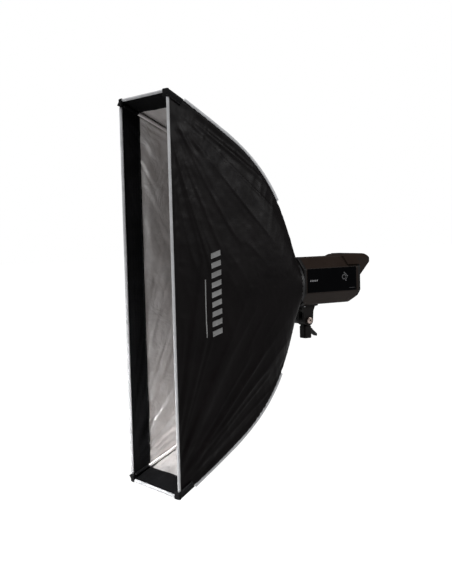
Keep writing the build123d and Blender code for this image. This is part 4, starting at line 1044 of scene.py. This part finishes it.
def area_light(name, place, aim, size, power, spread=180):
    data = bpy.data.lights.new(name, "AREA")
    data.shape = "RECTANGLE"
    data.size, data.size_y = size
    data.energy = power
    data.spread = math.radians(spread)
    light = bpy.data.objects.new(name, data)
    light.location = place
    light.rotation_euler = (Vector(aim) - Vector(place)).to_track_quat("-Z", "Y").to_euler()
    bpy.context.scene.collection.objects.link(light)


def by_ray(tree, seen_directly, otherwise, output):
    """What the camera sees directly, and what lights and reflects in everything else."""
    path, either = add_node(tree, "ShaderNodeLightPath"), add_node(tree, "ShaderNodeMixShader")
    tree.links.new(path.outputs["Is Camera Ray"], either.inputs[0])
    tree.links.new(otherwise.outputs[0], either.inputs[1])
    tree.links.new(seen_directly.outputs[0], either.inputs[2])
    tree.links.new(either.outputs[0], tree.nodes[output].inputs["Surface"])


def make_studio():
    """A white studio: a broad soft sun from high in front, weak fills, and a light into the mouth."""
    world = bpy.data.worlds.new("studio")
    world.use_nodes = True
    tree = world.node_tree
    backdrop = tree.nodes["Background"]
    backdrop.inputs["Color"].default_value = (1.0, 1.0, 1.0, 1.0)
    by_ray(tree, backdrop, add_node(tree, "ShaderNodeBackground", Strength=AMBIENT), "World Output")
    bpy.context.scene.world = world
    bpy.context.scene.view_settings.view_transform = "Standard"
    data = bpy.data.lights.new("sun", "SUN")
    data.energy = SUN_STRENGTH
    data.angle = math.radians(SUN_SOFTNESS)
    sun = bpy.data.objects.new("sun", data)
    sun.rotation_euler = Vector(SUN_FROM).to_track_quat("Z", "Y").to_euler()
    bpy.context.scene.collection.objects.link(sun)
    centre = (0, FRONT_Y / 2, AXIS_Z)
    area_light("front_fill", (-0.9, -2.6, 0.5), centre, (1.2, 1.8), FILL_POWER)
    area_light("rear_rim", (1.9, 1.6, 1.05), centre, (0.6, 0.6), RIM_POWER)
    area_light("side_strip", (1.5, -1.9, 2.3), centre, (0.35, 1.6), SIDE_POWER)
    lining_low = (-0.09, FRONT_Y, AXIS_Z - 0.40)
    area_light("mouth_light", (0.32, -2.0, 0.55), lining_low, (0.25, 0.25), MOUTH_POWER, 28)
    floor, tree, shader = new_material("pale_floor", 0.9)
    mottle = colour_ramp(tree, noise_texture(tree, 1.5), [(0.3, 0.89), (0.7, 0.91)])
    tree.links.new(mottle, shader.inputs["Base Color"])
    shader.inputs["Emission Color"].default_value = (1.0, 1.0, 1.0, 1.0)
    shader.inputs["Emission Strength"].default_value = FLOOR_GLOW
    bounce = add_node(tree, "ShaderNodeBsdfDiffuse", Color=(FLOOR_BOUNCE, FLOOR_BOUNCE, FLOOR_BOUNCE, 1.0))
    by_ray(tree, shader, bounce, "Material Output")
    corners = [(x * FLOOR_REACH, y * FLOOR_REACH, FLOOR_Z) for x, y in ((-1, -1), (1, -1), (1, 1), (-1, 1))]
    mesh_of("floor", corners, [(0, 1, 2, 3)], floor)


make_camera()
make_studio()
